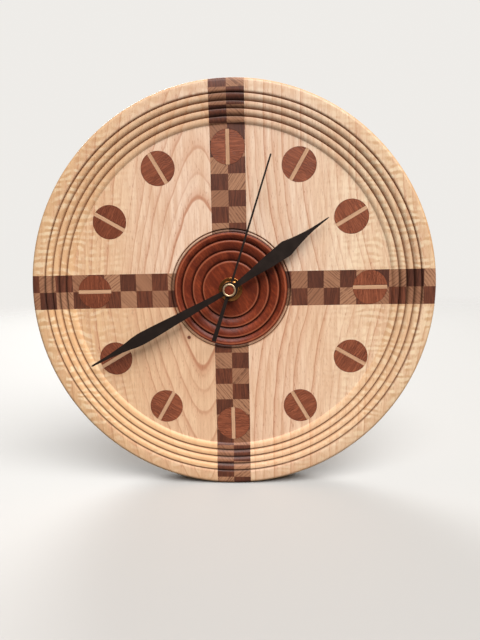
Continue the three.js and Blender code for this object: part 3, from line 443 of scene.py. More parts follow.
def dark_block():
    made, tree, shader, place = material(
        "walnut_block", 0.45, Coat_Weight=0.08, Coat_Roughness=0.35, Specular_IOR_Level=0.3
    )
    wood, seed = block_place(tree, place)
    fibre = use(tree, FIBRE_GROUP, {"Place": wood, "Across": 1000.0, "Along": 70.0})
    base = mixed(tree, seed, (92, 51, 36), (127, 69, 46))
    base = mixed(tree, span(tree, fibre["Fibre"], 0.35, 0.65, 0.7, 0.0), base, (66, 36, 27))
    base = mixed(tree, times(tree, fibre["Pore"], 0.5), base, (48, 27, 21))
    # Painted shade with dirt: the groove mark darkens the walnut in the grooves.
    base = mixed(tree, times(tree, stored(tree, "groove_dirt_and_shade"), 0.7), base, (45, 26, 20))
    relief = maths(tree, "SUBTRACT", fibre["Fibre"], fibre["Pore"])
    dress(tree, shader, base, sloped(tree, fibre["Fibre"], 0.2, 0.34), relief, 0.00003)
    return made


def pale_block():
    made, tree, shader, place = material(
        "end_grain_block", 0.5, Coat_Weight=0.06, Coat_Roughness=0.35, Specular_IOR_Level=0.3
    )
    wood, seed = block_place(tree, place)
    waver = times(tree, noise(tree, wood, 160.0, 2), 0.0012)
    count = maths(tree, "DIVIDE", plus(tree, axes_of(tree, wood)["X"], waver), 0.0021)
    part, year = years(tree, count, 0.8, 1.2)
    line = times(
        tree, span(tree, part, 0.0, 0.2), span(tree, part, 0.3, 0.65, 1.0, 0.0),
        span(tree, noise(tree, wood, 300.0, 1), 0.25, 0.55, 0.35, 1.0),
        sloped(tree, chance_of(tree, year), 0.65, 0.35),
    )
    speck = noise(tree, wood, 1700.0, 3, 0.7)
    base = mixed(tree, seed, (182, 132, 99), (154, 104, 76))
    clear = sloped(tree, chance_of(tree, seed), 0.2, 0.8)
    base = mixed(tree, times(tree, line, clear), base, (108, 68, 48))
    base = mixed(tree, span(tree, speck, 0.45, 0.7, 0.0, 0.3), base, (120, 84, 62))
    # Painted shade with dirt: the groove mark darkens the end grain in the grooves.
    base = mixed(tree, times(tree, stored(tree, "groove_dirt_and_shade"), 0.7), base, (70, 45, 32))
    dress(tree, shader, base, None, maths(tree, "SUBTRACT", line, speck), 0.00003)
    return made


WALNUT_BLOCK = dark_block()
PALE_BLOCK = pale_block()
print("block materials:", WALNUT_BLOCK.name, PALE_BLOCK.name)

# %% [markdown]
# ## Red-brown woods and the pale strip
# The medallion is a red-brown hardwood with fine dark pores, and the hour plugs
# are a browner cut of the same family, with the grain running across each
# plug's strip. Each plug stores its own turned place as an attribute, so that
# its grain turns with it. The strips are straight-grained maple.


# %% Red wood and strip materials
def fine_wood(
    name, light, dark, pore, across, along, streak, attribute=None,
    groove_dark=None, coat=0.2, slant=0.0, ripple=0.0, crest_highlight_tone=None, shine=0.3,
):
    made, tree, shader, place = material(
        name, 0.4, Coat_Weight=coat, Coat_Roughness=0.25, Specular_IOR_Level=shine
    )
    if attribute:
        place = stored(tree, attribute, "Vector")
    if slant:
        place = node(tree, "VectorRotate", {"Vector": place, "Angle": slant}, rotation_type="Y_AXIS")
    fibre = use(tree, FIBRE_GROUP, {"Place": place, "Across": across, "Along": along})
    bands = noise(tree, scaled(tree, place, (across / 6, across / 6, along / 5)), 1.0, 3, 0.6)
    shade = span(tree, bands, 0.32, 0.68)
    if ripple:
        shade = sloped(tree, shade, 0.35, times(tree, stored(tree, "tone"), 0.65))
    base = mixed(tree, shade, light, dark)
    base = mixed(tree, span(tree, fibre["Fibre"], 0.4, 0.72, streak, 0.0), base, pore)
    base = mixed(tree, times(tree, fibre["Pore"], 0.6), base, pore)
    if ripple:
        sway = noise(tree, scaled(tree, place, (260, 260, 200)), 1.0, 2)
        turns = sloped(tree, sway, 3.2, maths(tree, "DIVIDE", axes_of(tree, place)["X"], 0.0017))
        wave = maths(tree, "SINE", times(tree, turns, math.tau))
        patches = span(tree, noise(tree, scaled(tree, place, (120, 120, 60)), 1.0, 1), 0.35, 0.6)
        base = mixed(tree, times(tree, span(tree, wave, -0.1, 1.0), patches, ripple), base, pore)
    # Painted shade with dirt: the groove mark mixes the grooves and the slopes beside them towards a dark
    # colour.
    if groove_dark:
        base = mixed(tree, times(tree, stored(tree, "groove_dirt_and_shade"), 0.75), base, groove_dark)
    # Painted highlight: the crest mark paints the ring crests paler.
    if crest_highlight_tone:
        base = mixed(tree, times(tree, stored(tree, "wear_and_highlight"), 0.5), base, crest_highlight_tone)
    relief = maths(tree, "SUBTRACT", fibre["Fibre"], fibre["Pore"])
    dress(tree, shader, base, sloped(tree, fibre["Fibre"], 0.2, 0.28), relief, 0.00003)
    return made


RED_WOOD = fine_wood(
    "medallion_wood", (152, 66, 36), (122, 48, 26), (58, 20, 12), 900.0, 150.0, 0.5,
    groove_dark=(45, 15, 10), coat=0.08, slant=0.6, crest_highlight_tone=(200, 116, 82), shine=0.2,
)
PLUG_WOOD = fine_wood(
    "plug_wood", (176, 100, 68), (132, 68, 44), (74, 32, 21), 1100.0, 90.0, 0.5,
    attribute="grain_place", ripple=0.5,
)
STRIP_WOOD = fine_wood(
    "strip_wood", (222, 176, 140), (208, 160, 124), (150, 106, 76), 1400.0, 60.0, 0.3,
    attribute="grain_place",
)
print("red woods:", RED_WOOD.name, PLUG_WOOD.name)

# %% [markdown]
# ## Metals, plastics and the rest
# Brass that is handled goes a little uneven: smooth where fingers polish it and
# duller elsewhere. Moulded plastic has a fine spark-eroded texture. Each recipe
# is the same small machine with its own colours and scale.


# %% Metal and plastic materials
def metal(name, tint, dull, roughness, brush=(400, 400, 400), depth=0.000004):
    made, tree, shader, place = material(name, roughness, 1.0)
    cloud = noise(tree, place, 260.0, 3, 0.6)
    marks = noise(tree, scaled(tree, place, brush), 4.0, 3, 0.6)
    base = mixed(tree, span(tree, cloud, 0.35, 0.7, 0.0, 0.6), tint, dull)
    gloss = sloped(tree, cloud, 0.1, sloped(tree, marks, 0.18, roughness - 0.08))
    dress(tree, shader, base, gloss, marks, depth)
    return made


def plastic(name, tint, wear_and_highlight, roughness, grain=5200.0, depth=0.00001, metallic=0.0, **constants):
    made, tree, shader, place = material(name, roughness, metallic, **constants)
    cloud = noise(tree, place, 120.0, 3, 0.6)
    base = mixed(tree, span(tree, cloud, 0.4, 0.75, 0.0, 0.7), tint, wear_and_highlight)
    gloss = sloped(tree, cloud, 0.16, roughness - 0.08)
    dress(tree, shader, base, gloss, noise(tree, place, grain, 2), depth)
    return made


BRASS = metal("polished_brass", (236, 186, 112), (214, 156, 84), 0.1, depth=0.0000005)
PALE_BRASS = metal("satin_brass", (242, 212, 172), (224, 188, 144), 0.3, depth=0.000001)
# Painted reflection: the washer's and nut's brass is darker, standing in for dark surroundings mirrored in
# their faces.
DARKENED_BRASS = metal("brass_darkened_as_reflection", (186, 124, 68), (150, 94, 50), 0.14, depth=0.0000005)
STEEL = metal("bright_steel", (196, 198, 200), (160, 163, 166), 0.3, (300, 300, 2400))
ZINC = metal("zinc_plate", (178, 184, 190), (146, 150, 152), 0.36)
COPPER = metal("enamelled_copper", (206, 116, 66), (176, 88, 50), 0.32, (2500, 200, 200))
MAGNET = metal("sintered_magnet", (92, 92, 96), (70, 70, 74), 0.5)
BLACK_LACQUER = plastic(
    "black_hand_lacquer", (34, 25, 21), (44, 33, 28), 0.4, 3000.0, 0.000006, Specular_IOR_Level=0.2
)
BLACK_PLASTIC = plastic("black_moulding", (30, 30, 32), (38, 38, 40), 0.5)
# Partly rubbed wear, partly a painted highlight: the lid's marks are paler, as if light caught their
# edges.
PALER_MARK_PLASTIC = plastic("paler_mark_moulding", (88, 88, 90), (70, 70, 72), 0.42)
WHITE_PLASTIC = plastic("white_moulding", (232, 229, 220), (222, 218, 206), 0.42)
RUBBER = plastic("black_rubber", (34, 34, 34), (46, 45, 44), 0.8, 2600.0, 0.00002)
BOARD = plastic("board_resist", (44, 104, 62), (36, 88, 52), 0.35, 900.0)
SLEEVE = plastic("battery_sleeve", (52, 70, 90), (62, 82, 102), 0.34, 2400.0, 0.000006)
SLEEVE_BAND = plastic("sleeve_band", (196, 199, 200), (182, 186, 188), 0.3, 2400.0, 0.000006, 0.5)
FINISH_OF_SLOT = {
    "ash": ASH["upper_left"], "chequer": WALNUT_BLOCK, "mahogany": RED_WOOD, "walnut": PLUG_WOOD,
    "maple": STRIP_WOOD, "brass": BRASS, "steel": STEEL, "black_hand": BLACK_LACQUER,
    "black_plastic": BLACK_PLASTIC, "white_plastic": WHITE_PLASTIC, "rubber": RUBBER, "board": BOARD,
    "copper": COPPER, "magnet": MAGNET, "battery_can": ZINC,
}
print("finishes for", len(FINISH_OF_SLOT), "slots")

# %% [markdown]
# ## Helpers for shapes
# A lathe turns an outline about the dial's axis. A saw cuts a solid along a
# plane and closes the cut. A plate is an outline pushed through a thickness.
# Finished pieces leave all of these in millimetres, and fit() moves them into
# the model's frame, smooths what was turned and keeps sharp what was cut. Each
# one stands for a CAD node, and the record says its body and its finish's slot.


# %% Shape helpers
def lathe(profile, steps=LATHE_STEPS, closed=True):
    bm = bmesh.new()
    ring = [bm.verts.new((radius, -height, 0)) for radius, height in profile]
    pairs = list(zip(ring, ring[1:]))
    if closed:
        pairs.append((ring[-1], ring[0]))
    edges = [bm.edges.new(pair) for pair in pairs]
    bmesh.ops.spin(
        bm, geom=ring + edges, cent=(0, 0, 0), axis=(0, 1, 0), dvec=(0, 0, 0),
        angle=math.tau, steps=steps, use_merge=True,
    )
    bmesh.ops.remove_doubles(bm, verts=bm.verts, dist=0.0005)
    bmesh.ops.recalc_face_normals(bm, faces=bm.faces)
    return bm


def push(bm, faces, travel):
    """Extrudes faces by a vector."""
    made = bmesh.ops.extrude_face_region(bm, geom=faces)["geom"]
    points = [g for g in made if isinstance(g, bmesh.types.BMVert)]
    bmesh.ops.translate(bm, verts=points, vec=travel)


def plate(outline, low, top):
    bm = bmesh.new()
    face = bm.faces.new([bm.verts.new((x, -low, z)) for x, z in outline])
    push(bm, [face], (0, low - top, 0))
    bmesh.ops.recalc_face_normals(bm, faces=bm.faces)
    return bm


def score(bm, point, normal, drop=False):
    """Cuts the faces along a plane, and drops what the normal points at if asked to."""
    everything = bm.verts[:] + bm.edges[:] + bm.faces[:]
    return bmesh.ops.bisect_plane(
        bm, geom=everything, dist=0.0001, plane_co=point, plane_no=normal, clear_outer=drop
    )


def saw(bm, point, normal):
    """Cuts along a plane, drops what the normal points at, and closes the cut."""
    cut = score(bm, point, normal, True)
    rims = [g for g in cut["geom_cut"] if isinstance(g, bmesh.types.BMEdge)]
    bmesh.ops.edgenet_fill(bm, edges=rims)
    bmesh.ops.recalc_face_normals(bm, faces=bm.faces)
    return bm


def combine(bm, other, operation):
    """One solid from two, with Blender's exact boolean. Both inputs are used up."""
    pair = []
    for part in (bm, other):
        mesh = bpy.data.meshes.new("boolean")
        part.to_mesh(mesh)
        part.free()
        pair.append(bpy.data.objects.new("boolean", mesh))
        bpy.context.scene.collection.objects.link(pair[-1])
    modifier = pair[0].modifiers.new("boolean", "BOOLEAN")
    modifier.operation, modifier.object, modifier.solver = operation, pair[1], "EXACT"
    shaped = pair[0].evaluated_get(bpy.context.evaluated_depsgraph_get())
    made = bmesh.new()
    made.from_mesh(shaped.to_mesh())
    shaped.to_mesh_clear()
    for piece in pair:
        mesh = piece.data
        bpy.data.objects.remove(piece)
        bpy.data.meshes.remove(mesh)
    return made


def on_circle(radius, angle, x=0.0, z=0.0):
    return x + radius * math.cos(angle), z + radius * math.sin(angle)


def rod(radius, low, top, x=0.0, z=0.0, steps=RING_STEPS):
    return plate([on_circle(radius, math.tau * i / steps, x, z) for i in range(steps)], low, top)


def drill(bm, radius, low, top, x=0.0, z=0.0, steps=RING_STEPS):
    return combine(bm, rod(radius, low, top, x, z, steps), "DIFFERENCE")


def box(xs, heights, zs):
    return plate([(xs[0], zs[0]), (xs[1], zs[0]), (xs[1], zs[1]), (xs[0], zs[1])], *heights)


def turned(bm, degrees, axis="Y"):
    turn = Matrix.Rotation(math.radians(degrees), 3, axis)
    bmesh.ops.rotate(bm, verts=bm.verts, cent=(0, 0, 0), matrix=turn)
    return bm


def round_over(bm, edges, width, segments, clamp):
    bmesh.ops.bevel(
        bm, geom=edges, offset=width, segments=segments, profile=0.5, affect="EDGES",
        material=-1, clamp_overlap=clamp,
    )


def eased(bm, width, segments=2, angle=40.0, clamp=False):
    """Rounds the edges that are sharper than the angle, by a width that is small beside every feature."""
    sharp = [
        e for e in bm.edges
        if len(e.link_faces) == 2 and math.degrees(e.calc_face_angle(0)) > angle
    ]
    round_over(bm, sharp, width, segments, clamp)
    bmesh.ops.recalc_face_normals(bm, faces=bm.faces)
    return bm


def fit(bm, name, finishes, stands_for, flat=False):
    """Moves a shape from millimetres about the axis into the model's frame, as the piece for a CAD node.

    With flat set, large flat faces keep their own normals and only the rounded edges blend.
    """
    bmesh.ops.translate(bm, verts=bm.verts, vec=(0, 0, -HANG))
    bmesh.ops.scale(bm, verts=bm.verts, vec=(MM, MM, MM))
    open_edges = sum(1 for e in bm.edges if not e.is_manifold)
    mesh = bpy.data.meshes.new(name)
    bm.to_mesh(mesh)
    bm.free()
    for finish in finishes:
        mesh.materials.append(finish)
    mesh.shade_smooth()
    mesh.set_sharp_from_angle(angle=math.radians(60.0 if flat else 32.0))
    piece = bpy.data.objects.new(name, mesh)
    bpy.context.scene.collection.objects.link(piece)
    if flat:
        weigh = piece.modifiers.new("level_faces", "WEIGHTED_NORMAL")
        weigh.weight, weigh.keep_sharp = 100, True
    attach(piece, BODY_OF_NODE[stands_for])
    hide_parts(stands_for)
    print(f"{name}: {len(mesh.polygons)} faces, {open_edges} open edges")


# %% [markdown]
# ## The turned blank
# The real disc was glued up first and turned afterwards, so the rim band, the
# four beads and the dial are one profile across every piece of wood. Each bead
# is a lopsided hill: a short steep shoulder just inside its groove, drawn as a
# quarter of an ellipse, then a long fall that steepens towards the next groove.
# A scribed line runs round the medallion's pocket. The whole blank is turned
# once here, and sawn into its pieces afterwards.


# %% Profile of the blank
BEAD_OUTER = 139.4
BEAD_PITCH = 5.1
BEADS = 4
BEAD_DROP = 0.9
BEAD_STEP = 0.8
SCRIBED = 44.4
POCKET = MEDALLION + GLUE
GROOVES = [BEAD_OUTER - i * BEAD_PITCH for i in range(BEADS)] + [SCRIBED, POCKET + 0.12]


def between(start, end, along, fall):
    return start[0] + (end[0] - start[0]) * along, start[1] + (end[1] - start[1]) * fall


def quarter(start, end, steps, level_first):
    """Points from start to end on a quarter ellipse that is level at one end and upright at the other."""
    points = []
    for i in range(1, steps + 1):
        angle = math.pi / 2 * i / steps
        if level_first:
            points.append(between(start, end, math.sin(angle), 1 - math.cos(angle)))
        else:
            points.append(between(start, end, 1 - math.cos(angle), math.sin(angle)))
    return points


def bend(start, end, steps, power):
    """Points from start to end on a curve that leaves start level and steepens towards the end."""
    shares = [i / steps for i in range(1, steps + 1)]
    return [between(start, end, share, share**power) for share in shares]


def blank_profile():
    groove_half, groove_extra = 0.3, 0.35
    profile = [(DISC - 1.5, 0), (DISC - 0.35, 0.9), (DISC, 1.9), (DISC, RIM - 3)]
    profile += quarter((DISC, RIM - 3), (DISC - 3, RIM), 8, False)
    edge = (BEAD_OUTER + groove_half, RIM - BEAD_DROP)
    profile += [(BEAD_OUTER + 2.0, RIM)] + quarter((BEAD_OUTER + 2.0, RIM), edge, 8, True)
    for i in range(BEADS):
        radius = BEAD_OUTER - i * BEAD_PITCH
        floor = RIM - BEAD_DROP - i * BEAD_STEP
        profile += [(radius, floor - groove_extra), (radius - groove_half, floor)]
        crest = (radius - BEAD_PITCH * 0.21, RIM - 0.15 - i * BEAD_STEP)
        profile += quarter((radius - groove_half, floor), crest, 7, False)
        if i < BEADS - 1:
            profile += bend(crest, (radius - BEAD_PITCH + groove_half, floor - BEAD_STEP), 12, 3)
    inner = radius - BEAD_PITCH
    profile += bend(crest, (inner - 0.1, DIAL + 0.12), 12, 3)
    profile += [(inner - 0.25, DIAL + 0.03), (inner - 0.5, DIAL), (inner - 1.2, DIAL)]
    profile += [(SCRIBED + 1.5, DIAL), (SCRIBED + 0.65, DIAL), (SCRIBED + 0.14, DIAL - 0.8)]
    profile += [(SCRIBED, DIAL - 1.1), (SCRIBED - 0.14, DIAL - 0.8), (SCRIBED - 0.45, DIAL - 0.15)]
    profile += [(SCRIBED - 0.7, DIAL), (POCKET + 0.25, DIAL), (POCKET, DIAL - 0.2)]
    profile += [(POCKET, WEB_FRONT), (SHAFT_HOLE, WEB_FRONT), (SHAFT_HOLE, RECESS_DEPTH)]
    return profile + [(RECESS, RECESS_DEPTH), (RECESS, 0.5), (RECESS + 0.5, 0)]


BLANK = lathe(blank_profile())
print("blank:", len(BLANK.faces), "faces; grooves at", [round(g, 1) for g in GROOVES])

# %% [markdown]
# ## Sawing the blank into its pieces
# The upper right quarter is what is left of the blank right of and above the
# cross, and the others come from the same two cuts, mirrored. Two blind holes are
# drilled in each for the hour plugs. The grooves get a mark in the mesh, which
# the finishes darken, partly as oil and dust gathered there and partly as painted
# shade in the grooves.


# %% Ash quarters
PLUG_DEPTH = 8


def plug_place(hour):
    angle = math.tau * hour / 12
    return PLUG_CENTRE * math.sin(angle), PLUG_CENTRE * math.cos(angle)


def mark(bm, label, radii, width, fade, floor):
    """Stores how near each point is to one of the rings: 1 within the width, then fading to 0."""
    layer = bm.verts.layers.float.new(label)
    for v in bm.verts:
        radius = math.hypot(v.co.x, v.co.z)
        gap = min(abs(radius - ring) for ring in radii)
        near = 1 - (gap - width) / fade
        v[layer] = min(1.0, max(0.0, near)) if -v.co.y > floor else 0.0


def drill_for_plugs(bm, hours):
    for hour in hours:
        bm = drill(bm, PLUG + GLUE, DIAL - PLUG_DEPTH, RIM + 1, *plug_place(hour))
    return bm


def mark_grooves(bm):
    mark(bm, "groove_dirt_and_shade", GROOVES, 0.15, 1.3, DIAL - 2)


QUARTERS = {
    "upper_right": (1, 1, (1, 2)), "lower_right": (1, -1, (4, 5)),
    "lower_left": (-1, -1, (7, 8)), "upper_left": (-1, 1, (10, 11)),
}
for corner, (right, up, hours) in QUARTERS.items():
    quarter_bm = BLANK.copy()
    saw(quarter_bm, (right * BAR_HALF, 0, 0), (-right, 0, 0))
    saw(quarter_bm, (0, 0, up * BAR_HALF), (0, 0, -up))
    quarter_bm = drill_for_plugs(quarter_bm, hours)
    mark_grooves(quarter_bm)
    fit(quarter_bm, f"turned_ash_quadrant_{corner}", [ASH[corner]], f"ash_quadrant_{corner}")

# %% [markdown]
# ## The chequered cross
# Each bar is two columns of blocks. The bar is sawn out of the turned blank, cut
# into its blocks with planes, and every block gets its wood, its seed and its
# slant. One bar runs from top to bottom and the two arms meet it, as the real
# glue-up does, so each starts its own count of blocks. All draws are made in a
# fixed order before the painting, so that each run gives the same blocks.

# %% Arms and their draws
# An arm has its axis (0 for x, 2 for z) and sense, its first joint, its blocks'
# length, and the side on which the odd blocks are pale. A draw is a block's
# seed and its slant, and a dark block takes only a small share of the slant.
ARMS = {
    "top": (2, 1, 48.9, 11.75, -1), "bottom": (2, -1, 47.9, 12.07, 1),
    "right": (0, 1, 45.3, 11.92, -1), "left": (0, -1, 47.0, 12.08, 1),
}
DARK_SLANT = 0.12
chance = random.Random(5533)
DRAWS = {}
for arm in ARMS:
    for step in range(-5, 10):
        for side in (-1, 1):
            seed = chance.random()
            slant = chance.choice((-1, 1)) * chance.uniform(0.6, 0.95)
            DRAWS[arm, step, side] = (seed, slant)
print("drawn blocks:", len(DRAWS))


# %% Bars of blocks
def cut_blocks(bm, axis, sense, first, pitch):
    for i in range(10):
        distance = first + pitch * i
        if distance < DISC:
            point, normal = [0, 0, 0], [0, 0, 0]
            point[axis], normal[axis] = sense * distance, 1
            score(bm, point, normal)


def paint_blocks(bm, arms):
    seed_layer = bm.faces.layers.float.new("seed")
    slant_layer = bm.faces.layers.float.new("slant")
    painted = set()
    for face in bm.faces:
        middle = face.calc_center_median()
        for arm in arms:
            axis, sense, first, pitch, pale_side = ARMS[arm]
            if middle[axis] * sense < 0:
                continue
            step = math.floor((middle[axis] * sense - first) / pitch)
            side = 1 if middle[2 - axis] > 0 else -1
            pale = (side == pale_side) == (step % 2 == 1)
            painted.add((arm, step, side))
            seed, slant = DRAWS[arm, step, side]
            face.material_index = 1 if pale else 0
            face[seed_layer] = seed
            face[slant_layer] = slant if pale else DARK_SLANT * slant
    return len(painted)


def bar(name, saws, arms, hours):
    bm = BLANK.copy()
    for place, normal in saws:
        saw(bm, [BAR_HALF * c for c in place], normal)
    bm = drill_for_plugs(bm, hours)
    score(bm, (0, 0, 0), (1, 0, 0) if name == "cross_bar" else (0, 0, 1))
    for arm in arms:
        cut_blocks(bm, *ARMS[arm][:4])
    mark_grooves(bm)
    print(name, "has", paint_blocks(bm, arms), "blocks")
    fit(bm, f"turned_{name}", [WALNUT_BLOCK, PALE_BLOCK], name)


RIGHT, LEFT, UP, DOWN = (1, 0, 0), (-1, 0, 0), (0, 0, 1), (0, 0, -1)
bar("cross_bar", [(RIGHT, RIGHT), (LEFT, LEFT)], ["top", "bottom"], (12, 6))
bar("cross_arm_right", [(UP, UP), (DOWN, DOWN), (RIGHT, LEFT)], ["right"], (3,))
bar("cross_arm_left", [(UP, UP), (DOWN, DOWN), (LEFT, RIGHT)], ["left"], (9,))

# %% [markdown]
# ## The medallion
# The medallion is a separate disc with three turned rings, let into a pocket.
# Its rings have the same lopsided profile as the beads, and step down a little
# each time to a flat middle, where the washer sits. Its grooves are painted dark,
# as dirt and painted shade together, and its crests are marked too and painted
# paler, as a painted highlight.

# %% Medallion
RING_PITCH = 7.6
RING_STEP = 0.4
SHOULDER = MEDALLION - 1.4
MEDALLION_GROOVES = [MEDALLION - 5.5 - i * RING_PITCH for i in range(3)]
MEDALLION_CRESTS = [SHOULDER] + [radius - RING_PITCH * 0.17 for radius in MEDALLION_GROOVES]
MEDALLION_TOP = DIAL - 3 * RING_STEP


def medallion_profile():
    groove_half, groove_extra, groove_depth = 0.25, 0.3, 1.7
    profile = [(SHAFT_HOLE, WEB_FRONT), (MEDALLION, WEB_FRONT), (MEDALLION, DIAL - 0.6)]
    profile += quarter((MEDALLION, DIAL - 0.6), (SHOULDER, DIAL), 5, False)
    crest = (SHOULDER, DIAL)
    for radius, crest_radius in zip(MEDALLION_GROOVES, MEDALLION_CRESTS[1:]):
        height = crest[1]
        floor = height - groove_depth
        profile += bend(crest, (radius + groove_half, floor), 14, 2)
        profile += [(radius, floor - groove_extra), (radius - groove_half, floor)]
        crest = (crest_radius, height - RING_STEP)
        profile += quarter((radius - groove_half, floor), crest, 6, False)
    return profile + [(crest[0] - 0.8, crest[1]), (SHAFT_HOLE, crest[1])]


medallion = lathe(medallion_profile())
# The groove mark is painted dark, as dirt and painted shade together.
mark(medallion, "groove_dirt_and_shade", MEDALLION_GROOVES, 0.3, 1.2, MEDALLION_TOP - 3)
# The crest mark is a painted highlight along each ring's crest.
mark(medallion, "wear_and_highlight", MEDALLION_CRESTS, 0.1, 0.7, MEDALLION_TOP - 0.5)
fit(medallion, "turned_medallion", [RED_WOOD], "medallion")

# %% [markdown]
# ## Hour plugs and their strips
# A plug is cut with a plug cutter, let into its blind hole, slotted, and gets a
# pale strip glued into the slot. The strip points at the clock's middle. A disc
# is cut by two planes into two half moons and a middle lane, and pushing up the
# moons alone leaves the slot.

# %% Plugs and strips
SLOT_DEPTH = 3
SLOT_HALF = 1.45
STRIP_HALF = 1.35
PLUG_STEPS = 128
DARKER_PLUGS = {8: 0.6, 9: 0.7, 10: 0.9, 11: 0.5}


def store_grain(bm, grain_of):
    """Stores each point's own place in the wood, in metres."""
    layer = bm.verts.layers.float_vector.new("grain_place")
    for v in bm.verts:
        v[layer] = grain_of(v.co * MM)


def slotted_plug(seed, tone):
    bm = rod(PLUG, DIAL - PLUG_DEPTH, DIAL - SLOT_DEPTH, 0, PLUG_CENTRE, PLUG_STEPS)
    for x in (-SLOT_HALF, SLOT_HALF):
        score(bm, (x, 0, 0), (1, 0, 0))
    tops = [f for f in bm.faces if abs(f.calc_center_median().y + DIAL - SLOT_DEPTH) < 0.001]
    moons = [f for f in tops if abs(f.calc_center_median().x) > SLOT_HALF]
    push(bm, moons, (0, -SLOT_DEPTH, 0))
    bmesh.ops.delete(bm, geom=moons, context="FACES_ONLY")
    bmesh.ops.recalc_face_normals(bm, faces=bm.faces)
    rims = [e for e in bm.edges if all(abs(v.co.y + DIAL) < 0.001 for v in e.verts)]
    round_over(bm, [e for e in rims if len(e.link_faces) == 2], 0.12, 1, True)
    tone_layer = bm.verts.layers.float.new("tone")
    for v in bm.verts:
        v[tone_layer] = tone
    store_grain(bm, lambda at: Vector((at.z + seed, at.y + seed, at.x + 2 * seed)))
    return bm


def strip(seed):
    bm = rod(PLUG, DIAL - SLOT_DEPTH, DIAL, 0, PLUG_CENTRE, PLUG_STEPS)
    saw(bm, (STRIP_HALF, 0, 0), (1, 0, 0))
    saw(bm, (-STRIP_HALF, 0, 0), (-1, 0, 0))
    store_grain(bm, lambda at: at + Vector((seed, seed, seed)))
    return bm


plug_chance = random.Random(5)
for hour in range(1, 13):
    label = f"{hour:02d}"
    seed = plug_chance.uniform(0.1, 2.0)
    plug = turned(slotted_plug(seed, DARKER_PLUGS.get(hour, 0.15)), 30 * hour)
    fit(plug, f"slotted_plug_{label}", [PLUG_WOOD], f"hour_plug_{label}")
    line = turned(strip(seed), 30 * hour)
    fit(line, f"inlaid_strip_{label}", [STRIP_WOOD], f"hour_line_{label}")

# %% [markdown]
# ## Washer, nut and threaded bushing
# The movement is clamped from the front by a brass washer and a hexagonal nut on
# the movement's threaded bushing. A nut's corners are chamfered by a cone, which
# leaves the curved edge on every flat.

# %% Clamp pieces
WASHER_TOP = MEDALLION_TOP + 0.9
NUT_TOP = WASHER_TOP + 2.6
BUSHING_TOP = NUT_TOP + 1.7
NUT_HALF = 6
THREAD = 3.99
BUSHING_BORE = 2.59


def rounded_ring(radius, bore, low, top, edge):
    profile = [(bore, low), (radius - edge, low), (radius, low + edge), (radius, top - edge)]
    profile += quarter((radius, top - edge), (radius - edge, top), 4, False)
    profile += [(bore + edge, top)] + quarter((bore + edge, top), (bore, top - edge), 4, True)
    return lathe(profile, RING_STEPS)


def thread(radius, low, top, pitch, depth):
    """An outline that goes in and out once a turn, as a cut through a thread does."""
    points = []
    height = low
    while height + pitch <= top:
        points += [(radius - depth, height)]
        points += [(radius, height + pitch * 0.4), (radius, height + pitch * 0.6)]
        height += pitch
    return points


washer = rounded_ring(8.85, 4.14, MEDALLION_TOP, WASHER_TOP, 0.25)
fit(washer, "turned_washer", [DARKENED_BRASS], "brass_washer")

nut_corner = NUT_HALF / math.cos(math.pi / 6)
hexagon = [on_circle(nut_corner, math.tau * i / 6) for i in range(6)]
cone_outline = [(3, WASHER_TOP - 1), (8, WASHER_TOP - 1), (8, NUT_TOP - 1.5)]
cone_outline += [(NUT_HALF - 0.1, NUT_TOP), (3, NUT_TOP)]
nut = combine(plate(hexagon, WASHER_TOP, NUT_TOP), lathe(cone_outline, RING_STEPS), "INTERSECT")
nut = drill(nut, 4.09, WASHER_TOP - 1, NUT_TOP + 1)
fit(eased(nut, 0.18, clamp=True), "chamfered_nut", [DARKENED_BRASS], "hex_nut", flat=True)

bushing_profile = [(BUSHING_BORE, 14.0), (5.99, 14.0), (5.99, 14.9), (THREAD, 14.9)]
bushing_profile += thread(THREAD, 16.6, BUSHING_TOP - 0.5, 0.75, 0.35)
bushing_profile += [(THREAD - 0.5, BUSHING_TOP), (BUSHING_BORE, BUSHING_TOP)]
fit(lathe(bushing_profile, RING_STEPS), "cut_bushing", [BRASS], "threaded_bushing")

# %% [markdown]
# ## Hands
# The hands are stamped from sheet and lacquered black. Each blade is an outline
# mirrored about its middle, widest well out from the hub, and a round boss grips
# its tube. The outline is drawn pointing at twelve and turned to its time. A
# pair in it is a distance from the axis and half the blade's width there.

# %% Hand blades
SHEET = 0.6
HOUR_LOW, HOUR_TIME = 29.6, 54.9
MINUTE_LOW, MINUTE_TIME = 33.0, 242.2
SECONDS_LOW, SECONDS_TIME = 37.0, 18.2
MINUTE_BORE = 1.55


def blade(stations, low, top, boss, bore, angle, collar=None, edge=0.1):
    outline = [(half, along) for along, half in stations]
    outline += [(-half, along) for along, half in reversed(stations)]
    bm = combine(plate(outline, low, top), rod(boss, low, top), "UNION")
    if collar:
        bm = combine(bm, rod(collar[0], collar[1], top), "UNION")
        low = collar[1]
    bm = drill(bm, bore, low - 1, top + 1)
    bmesh.ops.remove_doubles(bm, verts=bm.verts, dist=0.002)
    if edge:
        eased(bm, edge, 2, 50, True)
    return turned(bm, angle)


